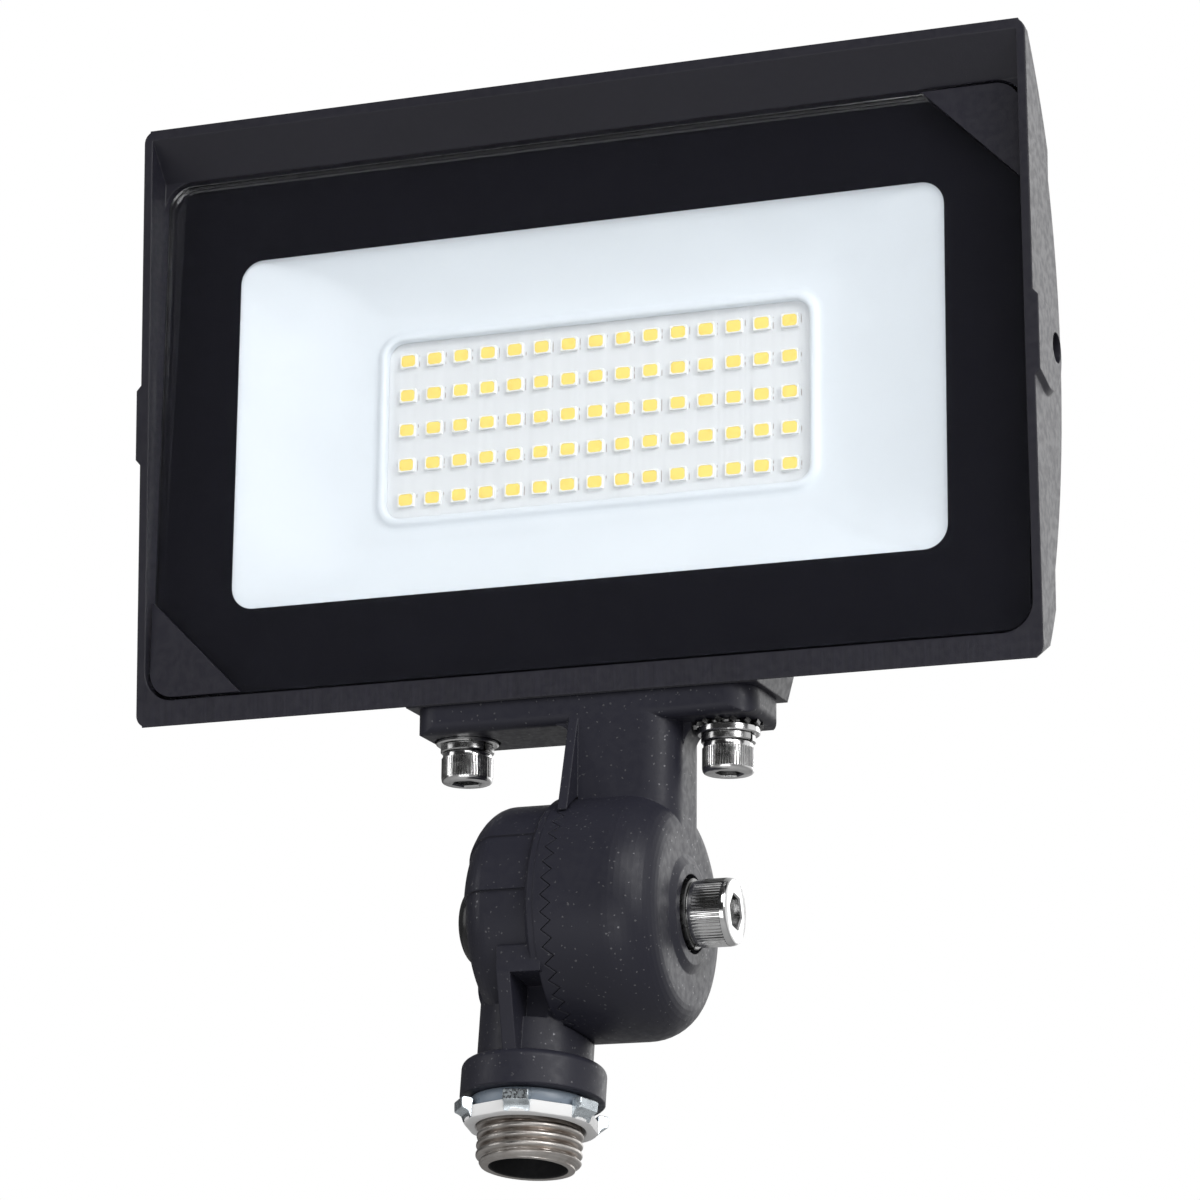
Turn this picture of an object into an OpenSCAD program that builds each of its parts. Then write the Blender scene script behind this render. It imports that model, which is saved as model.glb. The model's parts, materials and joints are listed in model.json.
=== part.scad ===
// LED flood light on a toothed knuckle with a threaded conduit stem.
// Row frame: origin on the stem axis at the collar's underside, +Z up, front towards -Y.
// Head frame: origin at the centre of the glass's front face, before the head is tilted.

/* [Head] */
// Width of the housing over its side walls
head_w = 188; // [150:1:240]
// Height of the glass
glass_h = 109.2; // [90:0.1:150]
// Thickness of the tempered glass
glass_t = 3; // [2:0.1:5]
// Side wall of the housing at the rim
side_wall = 1.8; // [1.4:0.1:3]
// Gap round the glass in its recess
glass_gap = 0.8; // [0.1:0.05:1]
// Height of the flat band below the glass
bottom_band = 5.2; // [4:0.1:9]
// Height of the sloped visor above the glass
top_band = 9.5; // [6:0.1:16]
// How far the lower edge stands in front of the glass
rim_reach = 0.85; // [0.5:0.05:3]
// How far the visor stands in front of the glass
visor_reach = 6.85; // [4:0.05:12]
// Thickness of the visor's front edge
visor_edge = 1.9; // [1.2:0.1:3]
// Bulge of the side walls behind the line of the rim
side_bulge = 20; // [16:0.1:26]
// Bulge of the back wall behind the line of the rim
back_bulge = 21; // [19:0.1:30]
// Thickness of the back wall
back_wall = 3; // [2:0.1:5]
// Radius of the rim's outer corners
rim_corner_r = 2.6; // [1:0.1:5]
// Radius of the glass corners
glass_corner_r = 5.3; // [3:0.1:8]
// Width of the ledge that the glass is sealed to
ledge_w = 6; // [5:0.1:9]

/* [Window and light source] */
// Width of the clear window in the printed border
window_w = 150; // [120:0.5:170]
// Height of the clear window
window_h = 74; // [60:0.5:90]
// Corner radius of the clear window
window_r = 4.8; // [2:0.1:8]
// Thickness of the printed border
print_t = 0.1; // [0.05:0.01:0.2]
// Thickness of the glass seal
gasket_t = 1; // [0.8:0.1:2]
// LEDs along the width
led_cols = 15; // [8:1:18]
// LEDs along the height
led_rows = 5; // [3:1:6]
// Spacing of the LEDs along the width
led_pitch_x = 5.83; // [5:0.01:6.5]
// Spacing of the LEDs along the height
led_pitch_z = 7.35; // [6:0.01:8.5]
// Width of an LED package
led_w = 3.5; // [3:0.1:4.5]
// Height of an LED package
led_h = 2.8; // [2.4:0.1:4]
// Thickness of an LED package
led_t = 0.8; // [0.6:0.05:1.2]
// Depth of the LED faces behind the glass's front face
led_depth = 11.2; // [9:0.1:14]
// Thickness of the LED board
board_t = 1.6; // [1:0.1:3]
// Margin of the reflector's opening round the LEDs
opening_margin = 2.6; // [1.5:0.1:5]
// Wall of the reflector
reflector_wall = 1.4; // [1:0.1:2.5]

/* [Driver compartment and fins] */
// Width of the driver compartment
box_w = 110; // [90:1:130]
// Height of the driver compartment
box_h = 66; // [60:1:80]
// Depth of the compartment's rear face behind the glass's front face
box_depth = 33; // [30:0.5:42]
// Wall of the driver compartment
box_wall = 3.4; // [2.5:0.1:5]
// Thickness of the compartment's cover
cover_t = 2; // [1.5:0.1:4]
// Number of cooling fins
fin_count = 19; // [9:2:23]
// Spacing of the cooling fins
fin_pitch = 9; // [7.6:0.1:9.4]
// Thickness of a cooling fin
fin_t = 2; // [1.4:0.1:3]
// Bulge of the fin tips behind the line of the rim
fin_bulge = 26; // [24:0.5:27]

/* [Mounting flange] */
// Width of the flange
flange_w = 70.5; // [64:0.5:80]
// Depth of the flange
flange_d = 20; // [16:0.5:24]
// Thickness of the flange
flange_t = 5.5; // [4:0.1:9]
// Distance of the flange's middle to the right of the tooth line
flange_shift = 1; // [0:0.1:2]
// Distance between the flange screws
flange_screw_span = 54.5; // [50:0.5:60]
// Diameter of the flange screws
screw_d = 6; // [5:0.5:8]
// Distance from the pivot axis up to the flange's top face
neck_rise = 42.5; // [38:0.5:60]
// Width of the neck
neck_w = 21.2; // [16:0.2:21.2]
// Diameter of the wire way through the neck
neck_bore_d = 9; // [6:0.5:10]

/* [Knuckle] */
// Lean of the head towards the front at rest
head_tilt = 8; // [-8:8:16]
// Radius of the knuckle's toothed rim
knuckle_r = 24; // [22:0.1:28]
// Thickness of the upper half behind the tooth line
upper_half_t = 20.2; // [18:0.1:26]
// Thickness of the lower half behind the tooth line
lower_half_t = 20.9; // [19:0.1:26]
// Number of teeth on each half
tooth_count = 45; // [36:9:45]
// Depth of the teeth
tooth_depth = 2; // [1.4:0.1:2.4]
// Gap between the meshed halves, measured along the axis
tooth_gap = 0.25; // [0.2:0.05:0.4]
// Inner radius of the wire chamber inside the knuckle
chamber_r = 16; // [14:0.1:18]
// Thread diameter of the pivot bolt
bolt_d = 8; // [6:0.5:8]
// Radial gap of the pivot bolt in its holes
bolt_gap = 0.08; // [0.04:0.01:0.2]

/* [Stem] */
// Distance from the collar's underside up to the pivot axis
pivot_h = 36.1; // [34:0.1:48]
// Distance from the stem axis to the tooth line
stem_offset = 9.5; // [8:0.1:11]
// Diameter of the round neck above the collar
stem_d = 22.4; // [22:0.1:25]
// Diameter of the collar
collar_d = 28; // [27:0.1:36]
// Height of the collar
collar_h = 7.2; // [6.5:0.1:8]
// Outside diameter of the conduit thread
thread_d = 20.8; // [19:0.1:21]
// Length of the threaded nipple below the collar
nipple_len = 12.9; // [11:0.1:25]
// Bore of the threaded nipple
nipple_bore_d = 14.9; // [12:0.1:15.5]
// Thickness of the sealing ring
seal_t = 2.7; // [1.5:0.1:3]
// Thickness of the locknut
locknut_t = 2.6; // [2:0.1:4]

/* [Hidden] */
$fn = 64;
eps = 0.01;
fine = 96;

// Rim and glass, in the head frame
half_w = head_w / 2;
glass_w = head_w - 2 * (side_wall + glass_gap);
recess_w = glass_w + 2 * glass_gap;
recess_h = glass_h + 2 * glass_gap;
rim_bottom = -recess_h / 2 - bottom_band;
rim_top = recess_h / 2 + top_band;
glass_back = glass_t;
ledge_y = glass_back + print_t + gasket_t;
cavity_w = recess_w - 2 * ledge_w;
cavity_h = recess_h - 2 * ledge_w;
cavity_corner_r = 4;
underside_rise = 25;
front_cut = -visor_reach - 5;

// A side arc is the circle through two points [y, z] with a given bulge to the back
function arc_r(a, b, bulge) = (pow(norm(b - a) / 2, 2) + bulge * bulge) / (2 * bulge);
function arc_centre(a, b, bulge) =
    let (mid = (a + b) / 2, d = (a - b) / norm(a - b), back = [d[1], -d[0]])
    mid - back * (arc_r(a, b, bulge) - bulge);
side_top = [-visor_reach, rim_top];
side_bottom = [-rim_reach, rim_bottom];
back_top = [1, rim_top - 1];
back_bottom = [8, rim_bottom + 3];
fin_top = [3, rim_top - 3];
fin_bottom = [10, rim_bottom + 5];
core_inset = 1.3;
core_w = head_w - 2 * core_inset;
core_taper = 9;
core_taper_from = 14;
core_taper_to = 25;
fin_seat = 1.7;

// Light source, in the head frame
board_front = led_depth + led_t;
board_back = board_front + board_t;
led_field_w = (led_cols - 1) * led_pitch_x + led_w;
led_field_h = (led_rows - 1) * led_pitch_z + led_h;
opening_w = led_field_w + 2 * opening_margin;
opening_h = led_field_h + 2 * opening_margin;
opening_r = 3.5;
board_margin_x = 5;
board_margin_z = 6;
board_w = opening_w + 2 * board_margin_x;
board_h = opening_h + 2 * board_margin_z;
board_screw_inset = 3;
board_screw_x = board_w / 2 - board_screw_inset;
board_screw_z = board_h / 2 - board_screw_inset;
board_screw_d = 3;
board_screw_len = board_t + back_wall - 0.8;
board_wire_r = 2.2;
reflector_front = glass_back + print_t + 0.1;
reflector_back = board_front;
bead = 1;
bead_w = 2;
reflector_lip = 5;
reflector_ease = 1;
clip_leg = 20;
clip_t = 0.7;

// Driver compartment, in the head frame
pad_front = board_back;
box_floor = pad_front + back_wall;
cover_post = 6;
box_corner_r = 6;
pocket_w = box_w - 2 * (box_wall + cover_post);
pocket_h = box_h - 2 * box_wall;
cover_seal_t = 0.8;
cover_screw_d = 4;
cover_screw_len = 8;
cover_screw_x = box_w / 2 - 4.6;
cover_screw_z = box_h / 2 - 5;
cover_head_r = 3.8;
cover_head_h = 2.4;
cover_hex = 2.5;
pocket_corner_r = 4;
driver_gap = 0.8;
driver_t = box_depth - box_floor - driver_gap;

// Side pads with their threaded holes
pad_r = 8.2;
pad_rise = 1;
pad_draft = 1.1;
pad_slope = 14;
pad_cross = 0.06;
pad_y = 4.6;
pad_z = 1.4;
pad_hole_y = 9.3;
pad_hole_z = 2.9;
pad_hole_d = 6;
pad_hole_depth = 8;

// Flange, neck and knuckle, in a frame at the pivot with X from the tooth line
pivot_drop = neck_rise - rim_bottom;
flange_bottom = neck_rise - flange_t;
flange_corner_r = 5.5;
flange_edge_r = 2;
boss_margin = 1.1;
boss_rise = 27;
boss_flare = 7;
pivot_y = flange_d / 2;
neck_left = -tooth_depth / 2;
neck_right = neck_left + neck_w;
neck_corner_r = 6.5;
neck_fillet_r = 5;
left_fillet_r = 3;
gusset_t = 1.9;
gusset_foot = 0.78;
seal_groove = 1.6;
seal_groove_r = 9.6;
neck_bore_x = (neck_left + neck_right) / 2;
screw_hole_gap = 0.25;
flange_screw_depth = 9;
washer_gap = 0.4;
tooth_pitch = 360 / tooth_count;
rim_gap = 0.4;
tooth_base = 2 * knuckle_r * sin(tooth_pitch / 2) - 0.1;
boss_r = bolt_d / 2 + 4;
chamber_wall = 4;
rim_shoulder = 11.2;
face_r = 16.5;
spot_r = 7.7;
spot_depth = 1.9;
spot_ring_r = 9.7;
spot_ring_foot = 12.6;
spot_ring_rise = 0.9;
barrel_r = knuckle_r - 1.2;
barrel_shoulder = 13.4;
barrel_face_r = 11.4;
lip_t = 3.6;
lip_r = knuckle_r - 0.1;
lip_end = 38;
panel_from = -30;
panel_to = 1;
panel_depth = 0.4;
front_to = 72;
front_depth = 0.9;
step_lap = 2;
step_edge = 1;
step_run = 0.6;
block_top = 10.9;
block_low = 15.9;
block_front = 20;
block_lean = 0.9;
pocket_low = 22.2;
pocket_back = 9.6;

// Flange fasteners: the left washers are sunk into the casting, the right ones aren't
tooth_washer_t = 1;
tooth_washer_r = screw_d / 2 + 2;
tooth_reach = 1.8;
plain_washer_t = 1.4;
plain_washer_r = screw_d + 0.2;
lock_washer_t = 1.6;
lock_washer_r = screw_d - 0.7;
washer_sink = 0.7;
screw_bore_gap = 0.2;

// Pivot fasteners
flat_washer_t = 1.5;
flat_washer_r = 7.4;
spring_washer_t = 2;
spring_washer_r = 6.9;
bolt_head_r = 6.6;
bolt_head_h = 8;
washer_seat = upper_half_t - spot_depth;
bolt_seat = washer_seat + flat_washer_t + spring_washer_t;
nut_af = 13;
nut_gap = 0.15;
nut_corner_r = (nut_af / 2 + nut_gap) / cos(30);
nut_t = 6.5;
lower_boss_r = nut_corner_r + 2.4;
nut_pocket = nut_t + 0.6;
nut_inner = -lower_half_t + nut_pocket;
cap_rise = 4.3;
cap_r = 8.3;

// Stem
nipple_up = 5.5;
nipple_chamfer = 1;
lead_drop = 0.2;
stem_bore_d = nipple_bore_d + 1.2;
seal_r = 12;
locknut_gap = 0.1;
locknut_r = 14.4;
lug_count = 6;
lug_turn = 39;
lug_w = 5;
lug_rise = 1.5;
lug_under = 1.3;
rib_t = 2.8;
rib_rise = 1.9;

// Colours
coat = [0.17, 0.17, 0.18];
bright = [0.82, 0.83, 0.85];
zinc = [0.75, 0.8, 0.84];
white = [0.9, 0.93, 0.96];

// General shapes

module rounded_rect(w, h, r) {
    square([w - 2 * r, h], center = true);
    square([w, h - 2 * r], center = true);
    for (x = [-1, 1], y = [-1, 1])
        translate([x * (w / 2 - r), y * (h / 2 - r)]) circle(r);
}

// Plate in the XZ plane from y0 to y1 with the outline of its 2-D children
module slab(y0, y1) {
    translate([0, y1, 0]) rotate([90, 0, 0]) linear_extrude(y1 - y0) children();
}

// Prism along X with its outline in [y, z]
module prism_x(x0, x1) {
    translate([x0, 0, 0]) rotate([90, 0, 90]) linear_extrude(x1 - x0) children();
}

// Round bar along X
module bar_x(x0, x1, r) {
    translate([x0, 0, 0]) rotate([0, 90, 0]) cylinder(h = x1 - x0, r = r);
}

// Body of revolution about X, with its outline in [x, r]
module turned_x(start = 0, turn = 360) {
    rotate([0, 90, 0]) rotate([0, 0, start]) rotate_extrude(angle = turn, $fn = fine)
        mirror([1, -1]) children();
}

// Region in front of a side arc, as an outline in [y, z]
module arc_outline(a, b, bulge, inset = 0) {
    intersection() {
        translate(arc_centre(a, b, bulge)) circle(arc_r(a, b, bulge) - inset, $fn = 180);
        translate([front_cut - 1, rim_bottom - 1])
            square([box_depth - front_cut + 20, rim_top - rim_bottom + 2]);
    }
}

// Everything behind the slanted plane of the rim and above the rising underside,
// as an outline in [y, z]
module behind_rim() {
    far = box_depth + 20;
    polygon([side_top, side_bottom,
        [far, rim_bottom + (far + rim_reach) * tan(underside_rise)], [far, rim_top]]);
}

// Puts children given in the head frame into the row frame
module in_head() {
    translate([stem_offset, 0, pivot_h]) rotate([head_tilt, 0, 0])
        translate([0, -pivot_y, pivot_drop]) children();
}

// Puts children given at the pivot into the row frame, tilted with the head
module at_pivot() {
    translate([stem_offset, 0, pivot_h]) rotate([head_tilt, 0, 0]) children();
}

// Puts children given at the pivot into the row frame, upright with the stem
module at_stem_pivot() {
    translate([stem_offset, 0, pivot_h]) children();
}

// Socket head cap screw along Z: head up from zero, shank down
module cap_screw(d, head_r, head_h, shank, hex_af) {
    difference() {
        union() {
            rotate_extrude() polygon([[0, 0], [head_r, 0], [head_r, head_h - 0.6],
                [head_r - 0.6, head_h], [0, head_h]]);
            translate([0, 0, -shank]) cylinder(h = shank + eps, d = d);
        }
        translate([0, 0, head_h * 0.45])
            cylinder(h = head_h, d = hex_af / cos(30), $fn = 6);
    }
}

// Split spring washer along Z
module spring_washer(r, bore_r, t) {
    difference() {
        cylinder(h = t, r = r);
        translate([0, 0, -1]) cylinder(h = t + 2, r = bore_r);
        rotate([0, 0, -60]) translate([0, -0.35, -1]) cube([r + 1, 0.7, t + 2]);
    }
}

// Housing

// Side walls and rim, as thin as seen from the side
module side_body() {
    intersection() {
        prism_x(-half_w, half_w) intersection() {
            arc_outline(side_top, side_bottom, side_bulge);
            behind_rim();
        }
        slab(front_cut, box_depth) translate([0, (rim_top + rim_bottom) / 2])
            rounded_rect(head_w, rim_top - rim_bottom, rim_corner_r);
    }
}

// Plan of the deeper back, narrower towards its rear, seen from above
module core_plan(inset) {
    half = core_w / 2 - inset;
    translate([0, -inset, rim_bottom - 1]) linear_extrude(rim_top - rim_bottom + 2)
        polygon([[-half, front_cut], [half, front_cut], [half, core_taper_from],
            [half - core_taper, core_taper_to], [core_taper - half, core_taper_to],
            [-half, core_taper_from]]);
}

module core_body() {
    intersection() {
        prism_x(-core_w / 2, core_w / 2) intersection() {
            arc_outline(back_top, back_bottom, back_bulge);
            behind_rim();
        }
        core_plan(0);
    }
}

// Upright cooling fins above, below and beside the driver compartment
module fins() {
    difference() {
        for (i = [0 : fin_count - 1]) {
            x = (i - (fin_count - 1) / 2) * fin_pitch;
            prism_x(x - fin_t / 2, x + fin_t / 2) intersection() {
                arc_outline(fin_top, fin_bottom, fin_bulge);
                behind_rim();
                translate([ledge_y, rim_bottom + 4])
                    square([box_depth, rim_top - rim_bottom - 6]);
            }
        }
        // The fins run into the compartment's walls, but not over its cover
        slab(pad_front, box_depth + 20)
            rounded_rect(box_w - 2 * fin_seat, box_h - 2 * fin_seat, box_corner_r - fin_seat);
        slab(box_depth, box_depth + 20) rounded_rect(box_w + 1, box_h + 1, box_corner_r);
    }
}

// Boss that the flange is screwed to, wider at its top
module flange_boss() {
    half = flange_w / 2 + boss_margin;
    top_half = half + boss_flare;
    top_z = rim_bottom + boss_rise;
    slab(0, flange_d - 1) translate([flange_shift, 0])
        polygon([[-half, rim_bottom], [half, rim_bottom], [top_half, top_z], [-top_half, top_z]]);
}

// Wedge whose drafted edge runs off the pad's round end above or below
module pad_flank(side, slope) {
    far = -2 * side * pad_r;
    edge = side * (pad_r - pad_cross);
    foot = edge + side * pad_draft;
    rotate([slope, 0, 0]) slab(-3 * pad_r, 0)
        polygon([[-1, far], [-1, foot], [0, foot], [pad_rise, edge], [pad_rise, far]]);
}

// Pad with drafted sides, round at the back and run out to the rim in front
module side_pad() {
    intersection() {
        prism_x(half_w - 1, half_w + pad_rise) behind_rim();
        translate([half_w, pad_y, pad_z]) {
            rotate([0, 90, 0]) cylinder(h = pad_rise, r1 = pad_r + pad_draft, r2 = pad_r);
            bar_x(-1, 0, pad_r + pad_draft);
            intersection() {
                pad_flank(1, 0);
                pad_flank(-1, -pad_slope);
            }
        }
    }
}

module housing_cavity() {
    intersection() {
        prism_x(-cavity_w / 2, cavity_w / 2)
            arc_outline(back_top, back_bottom, back_bulge, back_wall);
        slab(ledge_y - eps, box_depth) rounded_rect(cavity_w, cavity_h, cavity_corner_r);
        core_plan(back_wall);
    }
}

// Slope under the visor, from its front edge down to the glass
module visor_slope() {
    prism_x(-recess_w / 2, recess_w / 2)
        polygon([[0, 0], [0, recess_h / 2], [-visor_reach, rim_top - visor_edge],
            [front_cut, rim_top - visor_edge], [front_cut, 0]]);
}

module flange_screw_holes(r, z0, z1) {
    for (x = [-1, 1]) translate([flange_shift + x * flange_screw_span / 2, pivot_y, z0])
        cylinder(h = z1 - z0, r = r);
}

module housing() {
    color(coat) in_head() difference() {
        union() {
            difference() {
                union() {
                    side_body();
                    core_body();
                    fins();
                    flange_boss();
                    side_pad();
                    mirror([1, 0, 0]) side_pad();
                }
                slab(front_cut, ledge_y)
                    rounded_rect(recess_w, recess_h, glass_corner_r + glass_gap);
                visor_slope();
                housing_cavity();
            }
            slab(pad_front, box_depth) rounded_rect(box_w, box_h, box_corner_r);
        }
        slab(box_floor, box_depth + 1) rounded_rect(pocket_w, pocket_h, pocket_corner_r);
        // Wire holes from the neck and into the driver compartment
        translate([neck_bore_x, pivot_y, rim_bottom - 1])
            cylinder(h = -rim_bottom - cavity_h / 2 + 2, d = neck_bore_d);
        translate([0, pad_front - 1, -board_h / 2 - board_wire_r - 0.3]) rotate([-90, 0, 0])
            cylinder(h = back_wall + 2, r = board_wire_r);
        flange_screw_holes(screw_d / 2, rim_bottom - 1, rim_bottom + flange_screw_depth);
        for (x = [-1, 1], z = [-1, 1]) {
            translate([x * board_screw_x, pad_front - 1, z * board_screw_z])
                rotate([-90, 0, 0]) cylinder(h = board_screw_len, d = board_screw_d + 0.1);
            translate([x * cover_screw_x, box_depth - cover_screw_len, z * cover_screw_z])
                rotate([-90, 0, 0]) cylinder(h = cover_screw_len + 1, d = cover_screw_d + 0.1);
        }
        for (side = [0, 1]) mirror([side, 0, 0])
            translate([0, pad_hole_y, pad_hole_z])
                bar_x(half_w + pad_rise - pad_hole_depth, half_w + pad_rise + 1, pad_hole_d / 2);
    }
}

// Glass, its print, seal and corner clips

module lens_glass() {
    color([0.8, 0.9, 0.95, 0.35]) in_head()
        slab(0, glass_t) rounded_rect(glass_w, glass_h, glass_corner_r);
}

module lens_border() {
    color([0.03, 0.03, 0.035]) in_head() slab(glass_back, glass_back + print_t)
        difference() {
            rounded_rect(glass_w, glass_h, glass_corner_r);
            rounded_rect(window_w, window_h, window_r);
        }
}

module glass_gasket() {
    seal_w = ledge_w - 1;
    color([0.1, 0.1, 0.1]) in_head() slab(glass_back + print_t, ledge_y)
        difference() {
            rounded_rect(glass_w, glass_h, glass_corner_r);
            rounded_rect(glass_w - 2 * seal_w, glass_h - 2 * seal_w, 3);
        }
}

// Thin triangular plate over one corner of the glass
module corner_clip() {
    slab(-clip_t, 0) intersection() {
        rounded_rect(glass_w, glass_h, glass_corner_r);
        translate([-glass_w / 2, -glass_h / 2]) polygon([[0, 0], [clip_leg, 0], [0, clip_leg]]);
    }
}

module lower_glass_clip() {
    color(coat) in_head() corner_clip();
}

module upper_glass_clip() {
    color(coat) in_head() rotate([0, 180, 0]) corner_clip();
}

// Reflector and LED board

module pan(grow, y0, y1) {
    top_grow = 2 * (reflector_ease + grow);
    hull() {
        slab(y0, y0 + eps)
            rounded_rect(window_w + top_grow, window_h + top_grow, window_r + reflector_ease,
                $fn = 32);
        slab(y1 - eps, y1)
            rounded_rect(opening_w + 2 * grow, opening_h + 2 * grow, opening_r + grow, $fn = 32);
    }
}

module reflector() {
    lip_w = window_w + 2 * reflector_lip;
    lip_h = window_h + 2 * reflector_lip;
    color(white) in_head() difference() {
        union() {
            pan(reflector_wall, reflector_front, reflector_back);
            slab(reflector_front, reflector_front + reflector_wall)
                rounded_rect(lip_w, lip_h, window_r + reflector_lip - 1);
            reflector_bead();
        }
        difference() {
            pan(0, reflector_front - eps, reflector_back - 0.8);
            reflector_bead();
        }
        slab(reflector_front, reflector_back + 1) rounded_rect(opening_w, opening_h, opening_r);
    }
}

// Raised bead round the reflector's opening, before the opening is cut
module reflector_bead() {
    slab(reflector_back - reflector_wall - bead, reflector_back)
        rounded_rect(opening_w + 2 * bead_w, opening_h + 2 * bead_w, opening_r + bead_w);
}

module at_leds() {
    for (i = [0 : led_cols - 1], k = [0 : led_rows - 1])
        translate([(i - (led_cols - 1) / 2) * led_pitch_x, 0,
            (k - (led_rows - 1) / 2) * led_pitch_z]) children();
}

module led_board() {
    color([0.87, 0.88, 0.9]) in_head() difference() {
        slab(board_front, board_back) rounded_rect(board_w, board_h, board_screw_inset);
        for (x = [-1, 1], z = [-1, 1])
            translate([x * board_screw_x, board_front, z * board_screw_z]) rotate([-90, 0, 0]) {
                translate([0, 0, -1]) cylinder(h = board_t + 2, d = board_screw_d + 0.4);
                translate([0, 0, -eps])
                    cylinder(h = board_t, r1 = board_screw_d + 0.1, r2 = board_screw_d / 2);
            }
    }
}

module led_packages() {
    color([0.95, 0.95, 0.95]) in_head() at_leds() difference() {
        slab(led_depth, board_front) square([led_w, led_h], center = true);
        slab(led_depth - 1, led_depth + led_t / 2) square([led_w - 0.7, led_h - 0.7], center = true);
    }
}

module led_phosphor() {
    color([1, 0.85, 0.45]) in_head() at_leds()
        slab(led_depth + 0.05, led_depth + led_t / 2)
            square([led_w - 0.7, led_h - 0.7], center = true);
}

module board_screws() {
    color(bright) in_head() for (x = [-1, 1], z = [-1, 1])
        translate([x * board_screw_x, board_front, z * board_screw_z]) rotate([-90, 0, 0]) {
            cylinder(h = board_t - 0.2, r1 = board_screw_d - 0.1, r2 = board_screw_d / 2);
            cylinder(h = board_screw_len, d = board_screw_d);
        }
}

// Driver compartment

module led_driver() {
    color([0.3, 0.32, 0.35]) in_head()
        slab(box_floor, box_floor + driver_t)
            rounded_rect(pocket_w - 3, pocket_h - 8, 3);
}

module cover_outline() {
    difference() {
        rounded_rect(box_w, box_h, box_corner_r);
        for (x = [-1, 1], z = [-1, 1])
            translate([x * cover_screw_x, z * cover_screw_z]) circle(d = cover_screw_d + 0.4);
    }
}

module cover_gasket() {
    color([0.1, 0.1, 0.1]) in_head() slab(box_depth, box_depth + cover_seal_t)
        difference() {
            cover_outline();
            rounded_rect(pocket_w - 0.6, pocket_h - 0.6, pocket_corner_r);
        }
}

module driver_cover() {
    back = box_depth + cover_seal_t;
    color(coat) in_head() slab(back, back + cover_t) cover_outline();
}

module cover_screws() {
    head_y = box_depth + cover_seal_t + cover_t;
    color(bright) in_head() for (x = [-1, 1], z = [-1, 1])
        translate([x * cover_screw_x, head_y, z * cover_screw_z]) rotate([-90, 0, 0])
            cap_screw(cover_screw_d, cover_head_r, cover_head_h,
                cover_screw_len + cover_t + cover_seal_t - 1, cover_hex);
}

// Seal between the flange and the housing, round the wire way
module bracket_seal() {
    color([0.1, 0.1, 0.1]) at_pivot() translate([neck_bore_x, 0, neck_rise - seal_groove])
        difference() {
            cylinder(h = seal_groove, r = seal_groove_r - 0.1);
            translate([0, 0, -1]) cylinder(h = seal_groove + 2, r = neck_bore_d / 2 + 1.6);
        }
}

// Upper half of the knuckle, in the pivot frame

// Quarter of an ellipse from [x0, r0] on the cylinder to [x1, r1] on the end face
function shoulder(x0, r0, x1, r1) =
    [for (a = [0 : 7.5 : 90]) [x0 + (x1 - x0) * sin(a), r1 + (r0 - r1) * cos(a)]];

module upper_drum() {
    turned_x() polygon(concat(
        [[-tooth_depth / 2, 0], [-tooth_depth / 2, knuckle_r]],
        shoulder(rim_shoulder, knuckle_r, upper_half_t, face_r),
        [[upper_half_t, 0]]));
    turned_x() polygon([[upper_half_t - 1, 0], [upper_half_t - 1, spot_ring_foot + 1],
        [upper_half_t + spot_ring_rise, spot_ring_r], [upper_half_t + spot_ring_rise, 0]]);
}

module neck_outline() {
    small_r = 1.2;
    half_d = flange_d / 2;
    intersection() {
        translate([neck_left, -half_d]) square([neck_w, flange_d]);
        union() {
            translate([neck_left - 1, -half_d]) square([neck_w + 1 - neck_corner_r, flange_d]);
            translate([0, -half_d + neck_corner_r])
                square([neck_right, flange_d - 2 * neck_corner_r]);
            for (side = [-1, 1])
                translate([neck_right - neck_corner_r, side * (half_d - neck_corner_r)])
                    circle(neck_corner_r);
        }
    }
}

// Concave fillet along Y between the neck and the flange's underside
module neck_fillet(x, r, side) {
    straight = flange_d - (side > 0 ? 2 * neck_corner_r : 2);
    translate([x, straight / 2, flange_bottom]) rotate([90, 0, 0]) linear_extrude(straight)
        difference() {
            translate([side > 0 ? -1 : -r, -r]) square([r + 1, r + 1]);
            translate([side * r, -r]) circle(r);
        }
}

// Gusset from the flange's face out to the toothed rim
module gusset() {
    foot_z = knuckle_r * gusset_foot;
    foot_y = sqrt(pow(knuckle_r + rim_gap, 2) - foot_z * foot_z);
    prism_x(neck_left, neck_left + gusset_t)
        polygon([[-flange_d / 2, flange_bottom + 1], [-foot_y, foot_z], [-flange_d / 2 + 3, foot_z]]);
}

module upper_neck() {
    difference() {
        union() {
            linear_extrude(neck_rise) neck_outline();
            gusset();
            mirror([0, 1, 0]) gusset();
        }
        bar_x(neck_left - 1, tooth_depth / 2, knuckle_r + rim_gap);
    }
    neck_fillet(neck_right, neck_fillet_r, 1);
    neck_fillet(neck_left, left_fillet_r, -1);
}

// Radial V grooves that leave the face teeth standing: their roots point to side,
// and their flanks run on past the tooth tips
module tooth_grooves(side) {
    run_on = 1;
    run_out = rim_gap / 2;
    half = tooth_base / 2 * (1 + run_on / tooth_depth);
    open_x = -side * (tooth_depth / 2 + run_on);
    for (k = [0 : tooth_count - 1]) rotate([k * tooth_pitch, 0, 0])
        translate([0, 0, chamber_r - 2]) linear_extrude(knuckle_r - chamber_r + 2 + run_out)
            polygon([[side * tooth_depth / 2, 0], [open_x, -half], [open_x, half]]);
}

// Ring-shaped wire chamber round the bolt's boss
module wire_chamber(x0, x1, inner_r) {
    difference() {
        bar_x(x0, x1, chamber_r);
        bar_x(x0 - 1, x1 + 1, inner_r);
    }
}

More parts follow.
